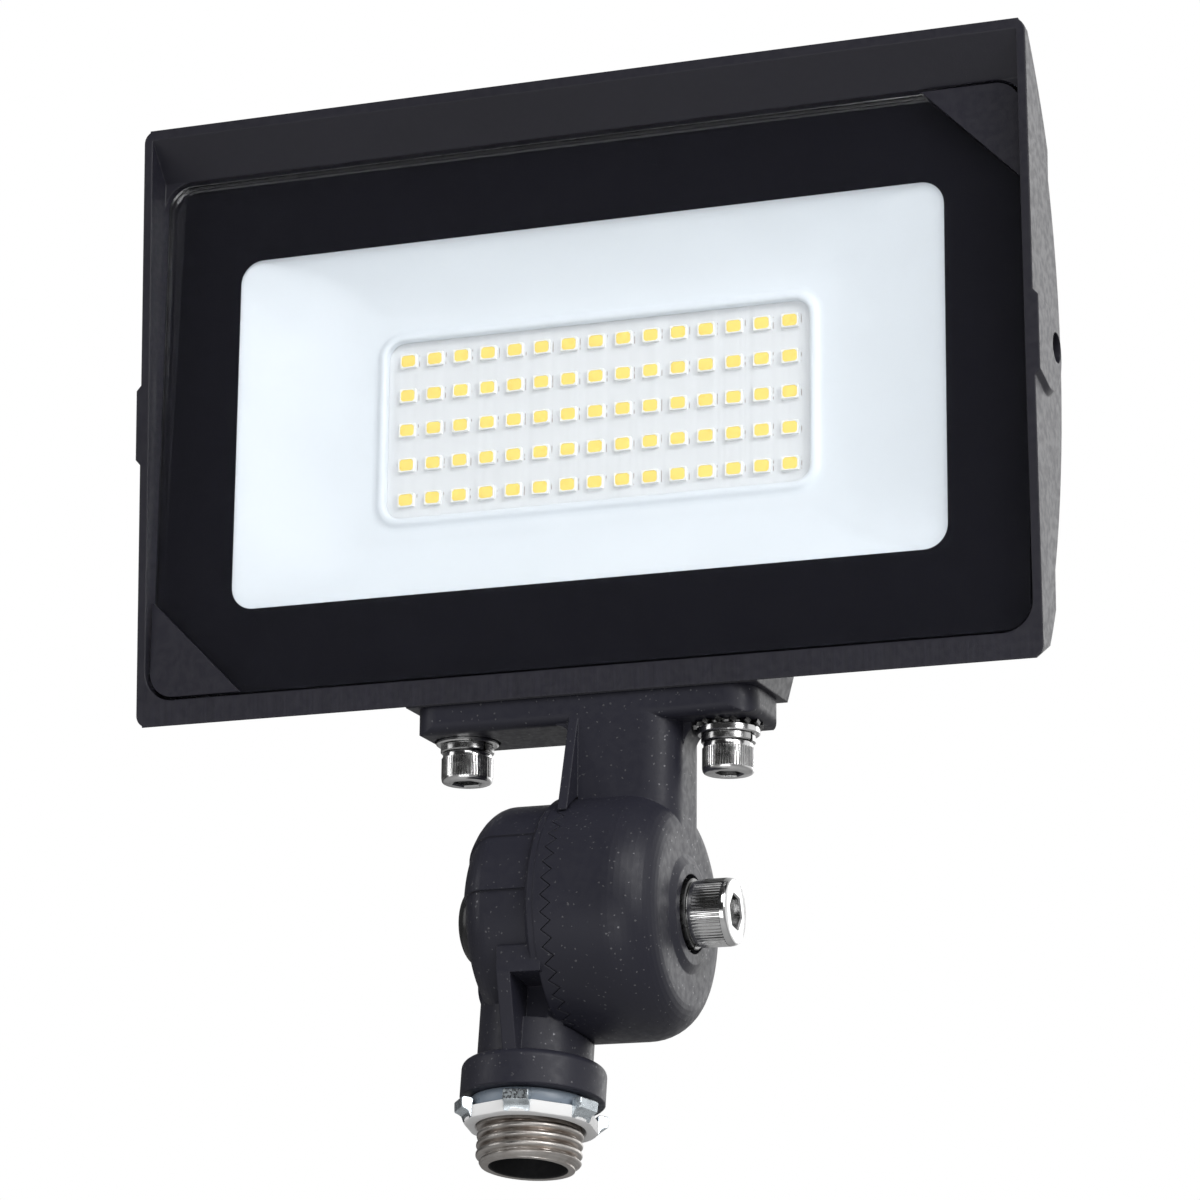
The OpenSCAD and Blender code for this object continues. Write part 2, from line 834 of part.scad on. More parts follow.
// Flange with rounded lower edges, flat on top
module flange() {
    intersection() {
        translate([flange_shift, 0, flange_bottom]) linear_extrude(flange_t)
            rounded_rect(flange_w, flange_d, flange_corner_r);
        slab(-flange_d / 2, flange_d / 2) translate([flange_shift, neck_rise])
            rounded_rect(flange_w, 2 * flange_t, flange_edge_r);
        prism_x(-flange_w, flange_w) translate([0, neck_rise])
            rounded_rect(flange_d, 2 * flange_t, flange_edge_r);
    }
}

// Room for a washer under the flange, cut into the neck's fillet and sunk into the flange
module washer_room(r, sink) {
    translate([0, 0, -neck_fillet_r]) cylinder(h = neck_fillet_r + sink, r = r + washer_gap);
}

module upper_knuckle() {
    color(coat) at_pivot() difference() {
        union() {
            upper_drum();
            upper_neck();
            flange();
        }
        // Teeth, with the face inside them standing back
        rotate([tooth_pitch / 2 - head_tilt, 0, 0]) tooth_grooves(1);
        bar_x(-tooth_depth, tooth_depth / 2, chamber_r);
        bar_x(0, upper_half_t, bolt_d / 2 + bolt_gap);
        bar_x(washer_seat, upper_half_t + 5, spot_r);
        wire_chamber(0, upper_half_t - chamber_wall, boss_r);
        translate([neck_bore_x, 0, boss_r + 1])
            cylinder(h = neck_rise, d = neck_bore_d);
        translate([neck_bore_x, 0, neck_rise - seal_groove])
            cylinder(h = seal_groove + 1, r = seal_groove_r);
        for (side = [-1, 1]) at_flange_screw(side, 0) {
            cylinder(h = flange_t + 2, r = screw_d / 2 + screw_hole_gap);
            washer_room(side > 0 ? tooth_washer_r + tooth_reach : plain_washer_r,
                side > 0 ? 0 : washer_sink);
        }
    }
}

// Flange fasteners: toothed washer on the right only, flat washer, spring washer, then the head

// Puts children on a flange screw's axis, below the flange's underside by a drop
module at_flange_screw(side, drop) {
    translate([flange_shift + side * flange_screw_span / 2, 0, flange_bottom - drop]) children();
}

// Drop of the flat washer's upper face
function washer_drop(side) = side > 0 ? tooth_washer_t : -washer_sink;

// Puts children on both screws, at a drop below the flat washers' upper faces
module at_flange_stacks(drop) {
    at_pivot() for (side = [-1, 1]) at_flange_screw(side, washer_drop(side) + drop) children();
}

module flange_tooth_washer() {
    teeth = 14;
    color(bright) at_pivot() at_flange_screw(1, tooth_washer_t) difference() {
        union() {
            cylinder(h = tooth_washer_t, r = tooth_washer_r);
            for (k = [0 : teeth - 1]) rotate([0, 0, k * 360 / teeth]) translate([0, -0.7, 0])
                cube([tooth_washer_r + tooth_reach, 1.4, tooth_washer_t]);
        }
        translate([0, 0, -1]) cylinder(h = 4, r = screw_d / 2 + screw_bore_gap);
    }
}

module flange_flat_washers() {
    color(bright) at_flange_stacks(plain_washer_t) difference() {
        cylinder(h = plain_washer_t, r = plain_washer_r);
        translate([0, 0, -1]) cylinder(h = 4, r = screw_d / 2 + screw_bore_gap);
    }
}

module flange_spring_washers() {
    color(bright) at_flange_stacks(plain_washer_t + lock_washer_t)
        spring_washer(lock_washer_r, screw_d / 2 + screw_bore_gap, lock_washer_t);
}

module flange_screws() {
    stack = plain_washer_t + lock_washer_t;
    color(bright) at_flange_stacks(stack) mirror([0, 0, 1])
        cap_screw(screw_d - 0.02, screw_d * 0.85, screw_d,
            stack + flange_t + flange_screw_depth - 1, screw_d * 0.83);
}

// Pivot fasteners, in the stem's pivot frame

module pivot_flat_washer() {
    color(bright) at_stem_pivot() difference() {
        bar_x(washer_seat, washer_seat + flat_washer_t, flat_washer_r);
        bar_x(washer_seat - 1, bolt_seat, bolt_d / 2 + 0.2);
    }
}

module pivot_spring_washer() {
    color([0.25, 0.25, 0.26]) at_stem_pivot() translate([washer_seat + flat_washer_t, 0, 0])
        rotate([0, 90, 0])
            spring_washer(spring_washer_r, bolt_d / 2 + 0.2, spring_washer_t);
}

module pivot_bolt() {
    shank = bolt_seat + lower_half_t - 0.7;
    color(bright) at_stem_pivot() translate([bolt_seat, 0, 0]) rotate([0, 90, 0])
        cap_screw(bolt_d, bolt_head_r, bolt_head_h, shank, bolt_d * 0.76);
}

module hex_x(x0, x1, corner_r) {
    translate([x0, 0, 0]) rotate([0, 90, 0]) cylinder(h = x1 - x0, r = corner_r, $fn = 6);
}

module pivot_nut() {
    color(zinc) at_stem_pivot() difference() {
        hex_x(nut_inner - nut_t, nut_inner, nut_af / 2 / cos(30));
        bar_x(nut_inner - nut_t - 1, nut_inner + 1, bolt_d / 2 + bolt_gap);
    }
}

module nut_cap() {
    color([0.05, 0.05, 0.055]) at_stem_pivot() turned_x() polygon(concat(
        [[-lower_half_t, 0], [-lower_half_t, cap_r]],
        shoulder(-lower_half_t - 1, cap_r, -lower_half_t - cap_rise, cap_r * 0.6),
        [[-lower_half_t - cap_rise, 0]]));
}

// Lower half of the knuckle with its stem, in the stem's pivot frame

function barrel_points(inset) = concat(
    [[-tooth_depth, 0], [-tooth_depth, barrel_r - inset]],
    shoulder(-barrel_shoulder, barrel_r - inset, -lower_half_t + inset, barrel_face_r),
    [[-lower_half_t + inset, 0]]);

module barrel() {
    lip_bevel = 0.8;
    difference() {
        turned_x() polygon(barrel_points(0));
        barrel_step(panel_from, panel_to + step_lap, panel_depth);
        barrel_step(panel_to, front_to, front_depth);
    }
    // Rim that carries the teeth
    bar_x(-tooth_depth - 0.6, tooth_depth / 2 - tooth_gap, knuckle_r);
    // Lip behind the rim, open towards the stem
    turned_x(90 - lip_end, 180 + 2 * lip_end) polygon([[-tooth_depth, barrel_r - 1],
        [-tooth_depth, lip_r], [-1 - lip_t + lip_bevel, lip_r],
        [-1 - lip_t, lip_r - lip_bevel], [-1 - lip_t, barrel_r - 1]]);
}

// Shallow step round the front of the barrel, between two angles below the pivot's level:
// it starts outside the end face's edge and runs in under the lip
module barrel_step(from, to, depth) {
    turned_x(270 + from, to - from) difference() {
        translate([-lower_half_t - 1, barrel_face_r + step_edge - depth])
            square([lower_half_t - lip_t + step_run, knuckle_r]);
        polygon(barrel_points(depth));
    }
}

// Rib down the front of the stem, under a block that runs on to the toothed rim
module stem_rib() {
    left = -stem_offset - rib_t / 2;
    foot_z = -pivot_h + collar_h - 1;
    block = [[0, -block_top], [-block_front, -block_top], [block_lean - block_front, -block_low]];
    prism_x(left, left + rib_t)
        polygon(concat(block, [[-stem_d / 2 - rib_rise, foot_z], [0, foot_z]]));
    prism_x(left, -tooth_depth) polygon(concat(block, [[0, -block_low]]));
}

// Pocket under the block, between the rib and the toothed rim
module stem_pocket() {
    left = -stem_offset + rib_t / 2;
    translate([left, -knuckle_r - 2, -pocket_low])
        cube([-tooth_depth - 0.6 - left, knuckle_r + 2 - pocket_back, pocket_low - block_low]);
}

module stem_body() {
    difference() {
        union() {
            translate([-stem_offset, 0, -pivot_h + collar_h - 1])
                cylinder(h = pivot_h - collar_h - 8, d = stem_d);
            stem_rib();
            mirror([0, 1, 0]) stem_rib();
        }
        bar_x(-tooth_depth / 2 - tooth_gap, stem_d, knuckle_r + rim_gap);
    }
    // Collar with a rounded upper edge
    edge = 1.6;
    translate([-stem_offset, 0, -pivot_h]) rotate_extrude() polygon(concat(
        [[0, 0], [collar_d / 2 - 0.3, 0], [collar_d / 2, 0.3]],
        [for (a = [0 : 15 : 90])
            [collar_d / 2 - edge + edge * cos(a), collar_h - edge + edge * sin(a)]],
        [[0, collar_h]]));
}

module lower_knuckle() {
    color(coat) at_stem_pivot() difference() {
        union() {
            barrel();
            stem_body();
        }
        stem_pocket();
        mirror([0, 1, 0]) stem_pocket();
        translate([-tooth_gap, 0, 0]) tooth_grooves(-1);
        // The face inside the teeth stands back from the upper half
        bar_x(-tooth_depth / 2 - tooth_gap, tooth_depth, chamber_r);
        wire_chamber(-lower_half_t + chamber_wall, tooth_depth, lower_boss_r);
        bar_x(-lower_half_t - 1, tooth_depth, bolt_d / 2 + bolt_gap);
        hex_x(-lower_half_t - 1, nut_inner, nut_corner_r);
        translate([-stem_offset, 0, -pivot_h - 1]) {
            cylinder(h = nipple_up + 1, d = thread_d + 0.1);
            cylinder(h = pivot_h - lower_boss_r, d = stem_bore_d);
        }
    }
}

// Nipple, sealing ring and locknut, in the row frame

module nipple() {
    r = thread_d / 2;
    bore = nipple_bore_d / 2;
    start_r = r - lead_drop;
    start_z = -seal_t - locknut_t - 0.3;
    color([0.6, 0.58, 0.56]) rotate_extrude() polygon([[bore, -nipple_len],
        [start_r - nipple_chamfer, -nipple_len],
        [start_r, -nipple_len + nipple_chamfer + 0.4], [start_r, start_z], [r, start_z],
        [r, nipple_up], [bore, nipple_up]]);
}

module sealing_ring() {
    color([0.42, 0.47, 0.53]) translate([0, 0, -seal_t]) difference() {
        cylinder(h = seal_t, r = seal_r);
        translate([0, 0, -1]) cylinder(h = seal_t + 2, d = thread_d + 0.1);
    }
}

module locknut() {
    lug_in = seal_r + 0.5;
    lug_out = locknut_r - lug_in;
    // The hexagon's lower chamfer stays inside the lugs' undercut
    hex_foot_r = locknut_r - lug_under - 0.3;
    color(zinc) translate([0, 0, -seal_t - locknut_t]) difference() {
        union() {
            intersection() {
                rotate([0, 0, lug_turn]) cylinder(h = locknut_t, r = locknut_r, $fn = lug_count);
                cylinder(h = locknut_t, r1 = hex_foot_r, r2 = hex_foot_r + locknut_t);
            }
            for (k = [0 : lug_count - 1]) rotate([0, 0, lug_turn + k * 360 / lug_count])
                translate([lug_in, lug_w / 2, 0]) rotate([90, 0, 0]) linear_extrude(lug_w)
                    polygon([[-1, 0], [lug_out - lug_under, 0], [lug_out, lug_under],
                        [lug_out + 0.4, locknut_t + lug_rise],
                        [0, locknut_t + lug_rise], [0, locknut_t], [-1, locknut_t]]);
        }
        translate([0, 0, -1])
            cylinder(h = locknut_t + lug_rise + 2, r = thread_d / 2 + locknut_gap);
    }
}

housing();
lens_glass();
lens_border();
glass_gasket();
lower_glass_clip();
upper_glass_clip();
reflector();
led_board();
led_packages();
led_phosphor();
board_screws();
led_driver();
driver_cover();
cover_gasket();
cover_screws();
bracket_seal();
upper_knuckle();
flange_screws();
flange_spring_washers();
flange_tooth_washer();
flange_flat_washers();
pivot_bolt();
pivot_spring_washer();
pivot_flat_washer();
lower_knuckle();
pivot_nut();
nut_cap();
nipple();
sealing_ring();
locknut();
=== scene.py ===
"""LED flood light on a toothed knuckle: the looks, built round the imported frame."""

import json
import math

import bmesh
import bpy
import numpy as np
from mathutils import Matrix, Vector


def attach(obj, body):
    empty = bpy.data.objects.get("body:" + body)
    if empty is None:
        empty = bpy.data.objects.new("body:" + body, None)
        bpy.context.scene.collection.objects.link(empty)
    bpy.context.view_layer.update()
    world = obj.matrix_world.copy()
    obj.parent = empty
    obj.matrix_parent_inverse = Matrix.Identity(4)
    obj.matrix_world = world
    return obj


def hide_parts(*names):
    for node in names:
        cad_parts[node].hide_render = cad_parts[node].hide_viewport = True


bl_info = {
    "name": "Flood Light",
    "version": (1, 0, 0),
    "blender": (4, 5, 0),
    "location": "3D View > Sidebar > Flood Light",
    "description": "Dresses the packed flood light: castings, glass, light source and fasteners",
    "category": "Object",
}

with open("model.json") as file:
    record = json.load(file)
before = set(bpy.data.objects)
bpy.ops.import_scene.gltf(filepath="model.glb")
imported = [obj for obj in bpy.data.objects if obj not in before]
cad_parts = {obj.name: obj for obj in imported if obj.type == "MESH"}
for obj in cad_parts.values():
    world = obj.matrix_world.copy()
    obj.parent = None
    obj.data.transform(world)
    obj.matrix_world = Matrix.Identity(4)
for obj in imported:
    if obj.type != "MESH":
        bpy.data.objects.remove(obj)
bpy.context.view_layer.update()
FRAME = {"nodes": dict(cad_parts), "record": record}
MM = 0.001


def moved_by(x, y, z):
    """A shift given in millimetres."""
    return Matrix.Translation(Vector((x, y, z)) * MM)


# The knuckle's pivot, upright as the stem and leaning with the head, and the head's own frame,
# whose origin is the middle of the glass's face
UPRIGHT_PIVOT = moved_by(9.5, 0.0, 36.1)
LEANING_PIVOT = UPRIGHT_PIVOT @ Matrix.Rotation(math.radians(8.0), 4, "X")
HEAD = LEANING_PIVOT @ moved_by(0.0, -10.0, 103.1)
TO_HEAD = HEAD.inverted()
HERE = Matrix.Identity(4)

# What turns a fastener's own Z along +X, down, to the front and to the back
ALONG_X = Matrix.Rotation(math.radians(90.0), 4, "Y")
DOWNWARDS = Matrix.Rotation(math.pi, 4, "X")
TO_FRONT = Matrix.Rotation(math.radians(90.0), 4, "X")
TO_BACK = Matrix(((-1, 0, 0, 0), (0, 0, 1, 0), (0, 1, 0, 0), (0, 0, 0, 1)))

# Seats in millimetres: behind the glass's face, above the pivot, and along the pivot
LED_DEPTH = 11.2
COVER_DEPTH = 35.8
FLANGE_HEIGHT = 37.0
BOLT_SEAT, SPRING_SEAT, WASHER_SEAT, PLUG_SEAT = 21.8, 19.8, 18.3, -20.9
LUG_TURN = math.radians(39.0)

# Edges that turn by more than this are shown sharp, and points closer than this are one
SHARP = math.radians(32.0)
SAME_POINT = 0.001 * MM


def record_colour(slot):
    """The record's base colour of a material slot, with alpha."""
    for entry in FRAME["record"]["materials"]:
        if entry["slot"] == slot:
            return tuple(entry["base_color"][:3]) + (1.0,)
    raise ValueError(f"the record has no material slot {slot}")


def tint(shade, factor):
    """A colour made lighter or darker."""
    return tuple(min(1.0, c * factor) for c in shade[:3]) + (1.0,)


def cooled(shade, gain):
    """A colour with more blue in it."""
    return (shade[0], shade[1], min(1.0, shade[2] * gain), 1.0)


# Both coats are darker and bluer under the lamps than the record's swatches
HOUSING_COAT = cooled(tint(record_colour("housing_coat"), 0.26), 1.5)
KNUCKLE_COAT = cooled(tint(record_colour("knuckle_coat"), 0.25), 1.4)

# Sizes and finishes that a user would change


def length(label, text, default_mm):
    return bpy.props.FloatProperty(name=label, description=text, default=default_mm * MM,
                                   min=0.0, soft_max=0.3, precision=5, unit="LENGTH")


def turn(label, text, degrees):
    return bpy.props.FloatProperty(name=label, description=text, default=math.radians(degrees),
                                   subtype="ANGLE")


def number(label, text, default, least=1):
    return bpy.props.IntProperty(name=label, description=text, default=default, min=least)


def colour(label, text, default):
    return bpy.props.FloatVectorProperty(name=label, description=text, default=default, size=4,
                                         min=0.0, max=1.0, subtype="COLOR")


class FloodLightHead(bpy.types.PropertyGroup):
    glass_w: length("Glass width", "Width of the tempered glass", 182.8)
    glass_h: length("Glass height", "Height of the tempered glass", 109.2)
    glass_arris: length("Glass arris", "Ground bevel along the edges of the glass", 0.35)
    window_w: length("Window width", "Width of the clear window", 150.0)
    window_h: length("Window height", "Height of the clear window", 74.0)
    opening_w: length("Opening width", "Width of the reflector's opening", 90.32)
    opening_h: length("Opening height", "Height of the reflector's opening", 37.4)
    led_pitch_x: length("LED pitch across", "Spacing of the LEDs along the width", 5.83)
    led_pitch_z: length("LED pitch up", "Spacing of the LEDs along the height", 7.35)
    led_columns: number("LED columns", "LEDs along the width", 15)
    led_rows: number("LED rows", "LEDs along the height", 5)


class FloodLightFasteners(bpy.types.PropertyGroup):
    screw_ridges: number("Screw ridges", "Knurled ridges round a flange screw's head", 57, 8)
    bolt_ridges: number("Bolt ridges", "Knurled ridges round the pivot bolt's head", 60, 8)
    thread_pitch: length("Thread pitch", "Pitch of the conduit thread", 1.814)
    thread_depth: length("Thread depth", "Depth of the conduit thread", 0.85)
    lug_count: number("Locknut lugs", "Bent-up lugs round the locknut", 6, 3)
    washer_teeth: number("Washer teeth", "Twisted teeth round the toothed washer", 14, 6)


class FloodLightFinishes(bpy.types.PropertyGroup):
    coat: colour("Housing coat", "Powder coat of the housing", HOUSING_COAT)
    knuckle: colour("Knuckle coat", "Satin coat of the knuckle", KNUCKLE_COAT)
    reflector: colour("Reflector", "White of the reflector", record_colour("reflector_white"))
    board: colour("Board", "Solder mask of the LED board", record_colour("board_white"))
    led: colour("LED package", "Moulded LED package", record_colour("led_body"))
    phosphor: colour("Phosphor", "Yellow face of an LED", record_colour("led_phosphor"))
    border: colour("Border print", "Print behind the glass", record_colour("border_print"))
    chrome: colour("Bright plating", "Plating of the bolts", record_colour("bolt_chrome"))
    zinc: colour("Blue zinc", "Plating of the locknut", record_colour("blue_zinc"))
    nipple: colour("Nipple", "Bare metal of the nipple", record_colour("nipple_metal"))
    ring: colour("Sealing ring", "Rubber of the sealing ring", record_colour("ring_grey"))


class FloodLightStage(bpy.types.PropertyGroup):
    azimuth: turn("Azimuth", "Angle of the camera round to the right of the front", 21.66)
    elevation: turn("Elevation", "Angle that the camera looks up by", 22.105)
    roll: turn("Roll", "Turn of the camera about its own axis", 3.565)
    distance: length("Distance", "Distance from the camera to the point it looks at", 846.87)
    lens_mm: bpy.props.FloatProperty(
        name="Lens", description="Focal length on a 36 mm sensor", default=128.02, min=1.0)
    floor_drop: length("Floor", "Distance of the floor below the origin", 900.0)


# Node trees


class Link:
    """An output of a node that arithmetic can be written on."""

    def __init__(self, tree, socket):
        self.tree = tree
        self.socket = socket

    def __add__(self, other):
        return self.tree.math("ADD", self, other)

    def __radd__(self, other):
        return self.tree.math("ADD", other, self)

    def __sub__(self, other):
        return self.tree.math("SUBTRACT", self, other)

    def __rsub__(self, other):
        return self.tree.math("SUBTRACT", other, self)

    def __mul__(self, other):
        return self.tree.math("MULTIPLY", self, other)

    def __rmul__(self, other):
        return self.tree.math("MULTIPLY", other, self)

    def __truediv__(self, other):
        return self.tree.math("DIVIDE", self, other)

    def __rtruediv__(self, other):
        return self.tree.math("DIVIDE", other, self)

    def __pow__(self, other):
        return self.tree.math("POWER", self, other)


class Tree:
    """Adds nodes to a shader or geometry tree."""

    def __init__(self, node_tree):
        self.nodes = node_tree.nodes
        self.links = node_tree.links

    def add(self, kind, settings=None, inputs=None, output=0):
        """A node of this type, with its settings made before its sockets are filled."""
        node = self.nodes.new(kind)
        for key, value in (settings or {}).items():
            setattr(node, key, value)
        for key, value in (inputs or {}).items():
            if isinstance(value, Link):
                self.links.new(value.socket, node.inputs[key])
            else:
                node.inputs[key].default_value = value
        return Link(self, node.outputs[output])

    def math(self, operation, first, second=0.0):
        return self.add("ShaderNodeMath", {"operation": operation}, {0: first, 1: second})

    def mix(self, factor, first, second):
        return self.add("ShaderNodeMix", {"data_type": "RGBA"},
                        {0: factor, 6: first, 7: second}, 2)

    def ramp(self, value, low, high, to_low=0.0, to_high=1.0):
        """A smooth step of value from low to high."""
        return self.add("ShaderNodeMapRange", {"interpolation_type": "SMOOTHSTEP"},
                        {0: value, 1: low, 2: high, 3: to_low, 4: to_high})

    def coords(self, in_head=False):
        """Object coordinates, in the whole light's frame or in the head's own."""
        point = self.add("ShaderNodeTexCoord", output="Object")
        if in_head:
            point = self.add("ShaderNodeMapping", {"vector_type": "POINT"},
                             {"Vector": point, "Location": TO_HEAD.to_translation(),
                              "Rotation": TO_HEAD.to_euler()})
        return point

    def noise(self, point, scale, detail=2.0, roughness=0.5):
        return self.add("ShaderNodeTexNoise", None, {
            "Vector": point, "Scale": scale, "Detail": detail, "Roughness": roughness})

    def streaks(self, point, scales, detail=2.0, roughness=0.5):
        """Noise with a scale for each axis, drawn out along the axis with the smallest."""
        return self.noise(self.add("ShaderNodeVectorMath", {"operation": "MULTIPLY"},
                                   {0: point, 1: scales}), 1.0, detail, roughness)

    def axis(self, point, index):
        return self.add("ShaderNodeSeparateXYZ", None, {0: point}, index)

    def vector(self, **parts):
        return self.add("ShaderNodeCombineXYZ", None, parts)

    def ray(self, kind):
        return self.add("ShaderNodeLightPath", output=f"Is {kind} Ray")

    def bump(self, height, distance, strength, edge=0.0):
        """A bumped normal, over edges that are rounded by the given radius."""
        inputs = {"Height": height, "Distance": distance, "Strength": strength}
        if edge:
            inputs["Normal"] = self.add("ShaderNodeBevel", {"samples": 6}, {"Radius": edge})
        return self.add("ShaderNodeBump", None, inputs)


def material(name, constants, build):
    """A material with constants on the shader's sockets and links from build(tree)."""
    made = bpy.data.materials.new(name)
    made.use_nodes = True
    shader = made.node_tree.nodes["Principled BSDF"]
    for key, value in constants.items():
        shader.inputs[key].default_value = value
    tree = Tree(made.node_tree)
    for key, link in build(tree).items():
        tree.links.new(link.socket, shader.inputs[key])
    made.diffuse_color = shader.inputs["Base Color"].default_value
    return made


# Meshes, in millimetres until they are placed


def skin(rings, loop=False):
    """Vertices and faces of a shell through rings of equally many points. The first and
    the last are capped, or joined to each other in a loop."""
    count = len(rings[0])
    faces = []
    for a in range(len(rings) if loop else len(rings) - 1):
        b = (a + 1) % len(rings)
        for i in range(count):
            j = (i + 1) % count
            faces.append((a * count + i, a * count + j, b * count + j, b * count + i))
    if not loop:
        faces.append(tuple(range(count)))
        faces.append(tuple(range((len(rings) - 1) * count, len(rings) * count)))
    return np.concatenate([np.asarray(ring, float) for ring in rings]), faces


def circle_ring(radius, height, count):
    """Ring round Z: radius is a number or a function of the angle."""
    angle = np.arange(count) * 2 * math.pi / count
    reach = np.array([radius(a) for a in angle]) if callable(radius) else np.full(count, radius)
    return np.column_stack((reach * np.cos(angle), reach * np.sin(angle),
                            np.full(count, float(height))))


def lathe(profile, count=96, loop=True):
    """Closed body of revolution about Z through (radius, height) points."""
    return skin([circle_ring(r, z, count) for r, z in profile], loop)


def rounded_ring(half_w, half_h, radius, depth, corner=10, side=6):
    """Ring round a rounded rectangle in the head's XZ plane, this deep behind the glass's face,
    with this many steps round a corner and along a side."""

    def on_corner(sx, sz, degrees):
        a = math.radians(degrees)
        return (sx * (half_w - radius) + radius * math.cos(a),
                sz * (half_h - radius) + radius * math.sin(a))

    points = []
    turns = ((1, 1, 0), (-1, 1, 90), (-1, -1, 180), (1, -1, 270))
    for n, (sx, sz, start) in enumerate(turns):
        points += [on_corner(sx, sz, start + 90.0 * k / corner) for k in range(corner + 1)]
        last, goal = points[-1], on_corner(*turns[(n + 1) % len(turns)])
        for k in range(1, side):
            t = k / side
            points.append((last[0] + t * (goal[0] - last[0]), last[1] + t * (goal[1] - last[1])))
    return np.array([(x, depth, z) for x, z in points])


def mesh_of(name, shell, place=HERE, sharp=SHARP):
    """A mesh in metres of a closed shell in millimetres, its faces outwards."""
    points, faces = shell
    mesh = bpy.data.meshes.new(name)
    mesh.from_pydata([tuple(point) for point in points * MM], [], faces)
    work = bmesh.new()
    work.from_mesh(mesh)
    bmesh.ops.remove_doubles(work, verts=work.verts, dist=SAME_POINT)
    bmesh.ops.recalc_face_normals(work, faces=work.faces)
    work.to_mesh(mesh)
    work.free()
    mesh.transform(place)
    mesh.shade_smooth()
    mesh.set_sharp_from_angle(angle=sharp)
    return mesh


def new_object(name, data):
    made = bpy.data.objects.new(name, data)
    bpy.context.scene.collection.objects.link(made)
    return made


def piece(name, mesh, finish, body, node, slot):
    """Puts a finished mesh into the scene as the piece that stands for a CAD node."""
    made = new_object(name, mesh)
    if finish.name not in [m.name for m in mesh.materials if m]:
        mesh.materials.clear()
        mesh.materials.append(finish)
    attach(made, body)
    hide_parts(node)


def dress(finish, *nodes):
    """Gives CAD nodes that stay their finish."""
    for node in nodes:
        materials = FRAME["nodes"][node].data.materials
        materials.clear()
        materials.append(finish)


# Geometry Nodes


def geometry_tree(name, inputs, build):
    """A tree that turns its mesh and the named inputs into what build(tree, given) returns,
    and ends in Realize Instances and Set Material."""
    group = bpy.data.node_groups.new(name, "GeometryNodeTree")
    for label, kind in {"Geometry": "Geometry", **inputs, "Material": "Material"}.items():
        group.interface.new_socket(label, in_out="INPUT", socket_type="NodeSocket" + kind)
    group.interface.new_socket("Geometry", in_out="OUTPUT", socket_type="NodeSocketGeometry")
    tree = Tree(group)
    source = group.nodes.new("NodeGroupInput")
    given = {s.name: Link(tree, s) for s in source.outputs if s.name}
    shape = tree.add("GeometryNodeRealizeInstances", None, {"Geometry": build(tree, given)})
    shape = tree.add("GeometryNodeSetMaterial", None,
                     {"Geometry": shape, "Material": given["Material"]})
    end = group.nodes.new("NodeGroupOutput")
    tree.links.new(shape.socket, end.inputs[0])
    return group


def copies(tree, given, points, angle):
    """The mesh on each of the points, turned about Z."""
    return tree.add("GeometryNodeInstanceOnPoints", None, {
        "Points": points, "Instance": given["Geometry"], "Rotation": tree.vector(Z=angle)})


def grid_tree():
    """Copies of the mesh on a centred grid in its XY plane, each turned a little and set
    on by a step from the last."""

    def build(tree, given):
        points = tree.add("GeometryNodeMeshGrid", None, {
            "Size X": (given["Columns"] - 1) * given["Pitch X"],
            "Size Y": (given["Rows"] - 1) * given["Pitch Y"],
            "Vertices X": given["Columns"], "Vertices Y": given["Rows"]})
        step = tree.vector(Z=tree.add("GeometryNodeInputIndex") * given["Step"])
        points = tree.add("GeometryNodeSetPosition", None, {"Geometry": points, "Offset": step})
        angle = tree.add("FunctionNodeRandomValue", {"data_type": "FLOAT"},
                         {2: given["Turn"] * -1, 3: given["Turn"], "Seed": given["Seed"]}, 1)
        return copies(tree, given, points, angle)

    return geometry_tree("copies_on_a_grid", {
        "Columns": "Int", "Rows": "Int", "Pitch X": "Float", "Pitch Y": "Float",
        "Step": "Float", "Turn": "Float", "Seed": "Int"}, build)


def ring_tree():
    """Copies of the mesh round Z, each turned to its own angle."""

    def build(tree, given):
        points = tree.add("GeometryNodePoints", None, {"Count": given["Count"]})
        index = tree.add("GeometryNodeInputIndex")
        return copies(tree, given, points,
                      index * (2 * math.pi) / given["Count"] + given["Start"])

    return geometry_tree("copies_round_an_axis", {"Count": "Int", "Start": "Float"}, build)


def thread_tree():
    """A screw thread pressed into the outside of a tube round Z."""
    narrowing, least_scale = 1.9, 0.5

    def build(tree, given):
        point = tree.add("GeometryNodeInputPosition")
        x, y, z = (tree.axis(point, i) for i in range(3))
        radius = tree.math("SQRT", x * x + y * y)
        phase = z / given["Pitch"] - tree.math("ARCTAN2", y, x) / (2 * math.pi)
        groove = (tree.math("COSINE", phase * (2 * math.pi)) * 0.5 + 0.5) ** narrowing
        outside = tree.math("GREATER_THAN", radius, given["Least Radius"])
        fade = tree.ramp(z, given["End"], given["End"] + given["Lead In"])
        depth = groove * outside * fade * given["Depth"]
        shrink = tree.math("MAXIMUM", 1 - depth / radius, least_scale)
        return tree.add("GeometryNodeSetPosition", None, {
            "Geometry": given["Geometry"],
            "Position": tree.vector(X=x * shrink, Y=y * shrink, Z=z)})

    return geometry_tree("thread_in_a_tube", {
        "Pitch": "Float", "Depth": "Float", "Least Radius": "Float", "Lead In": "Float",
        "End": "Float"}, build)


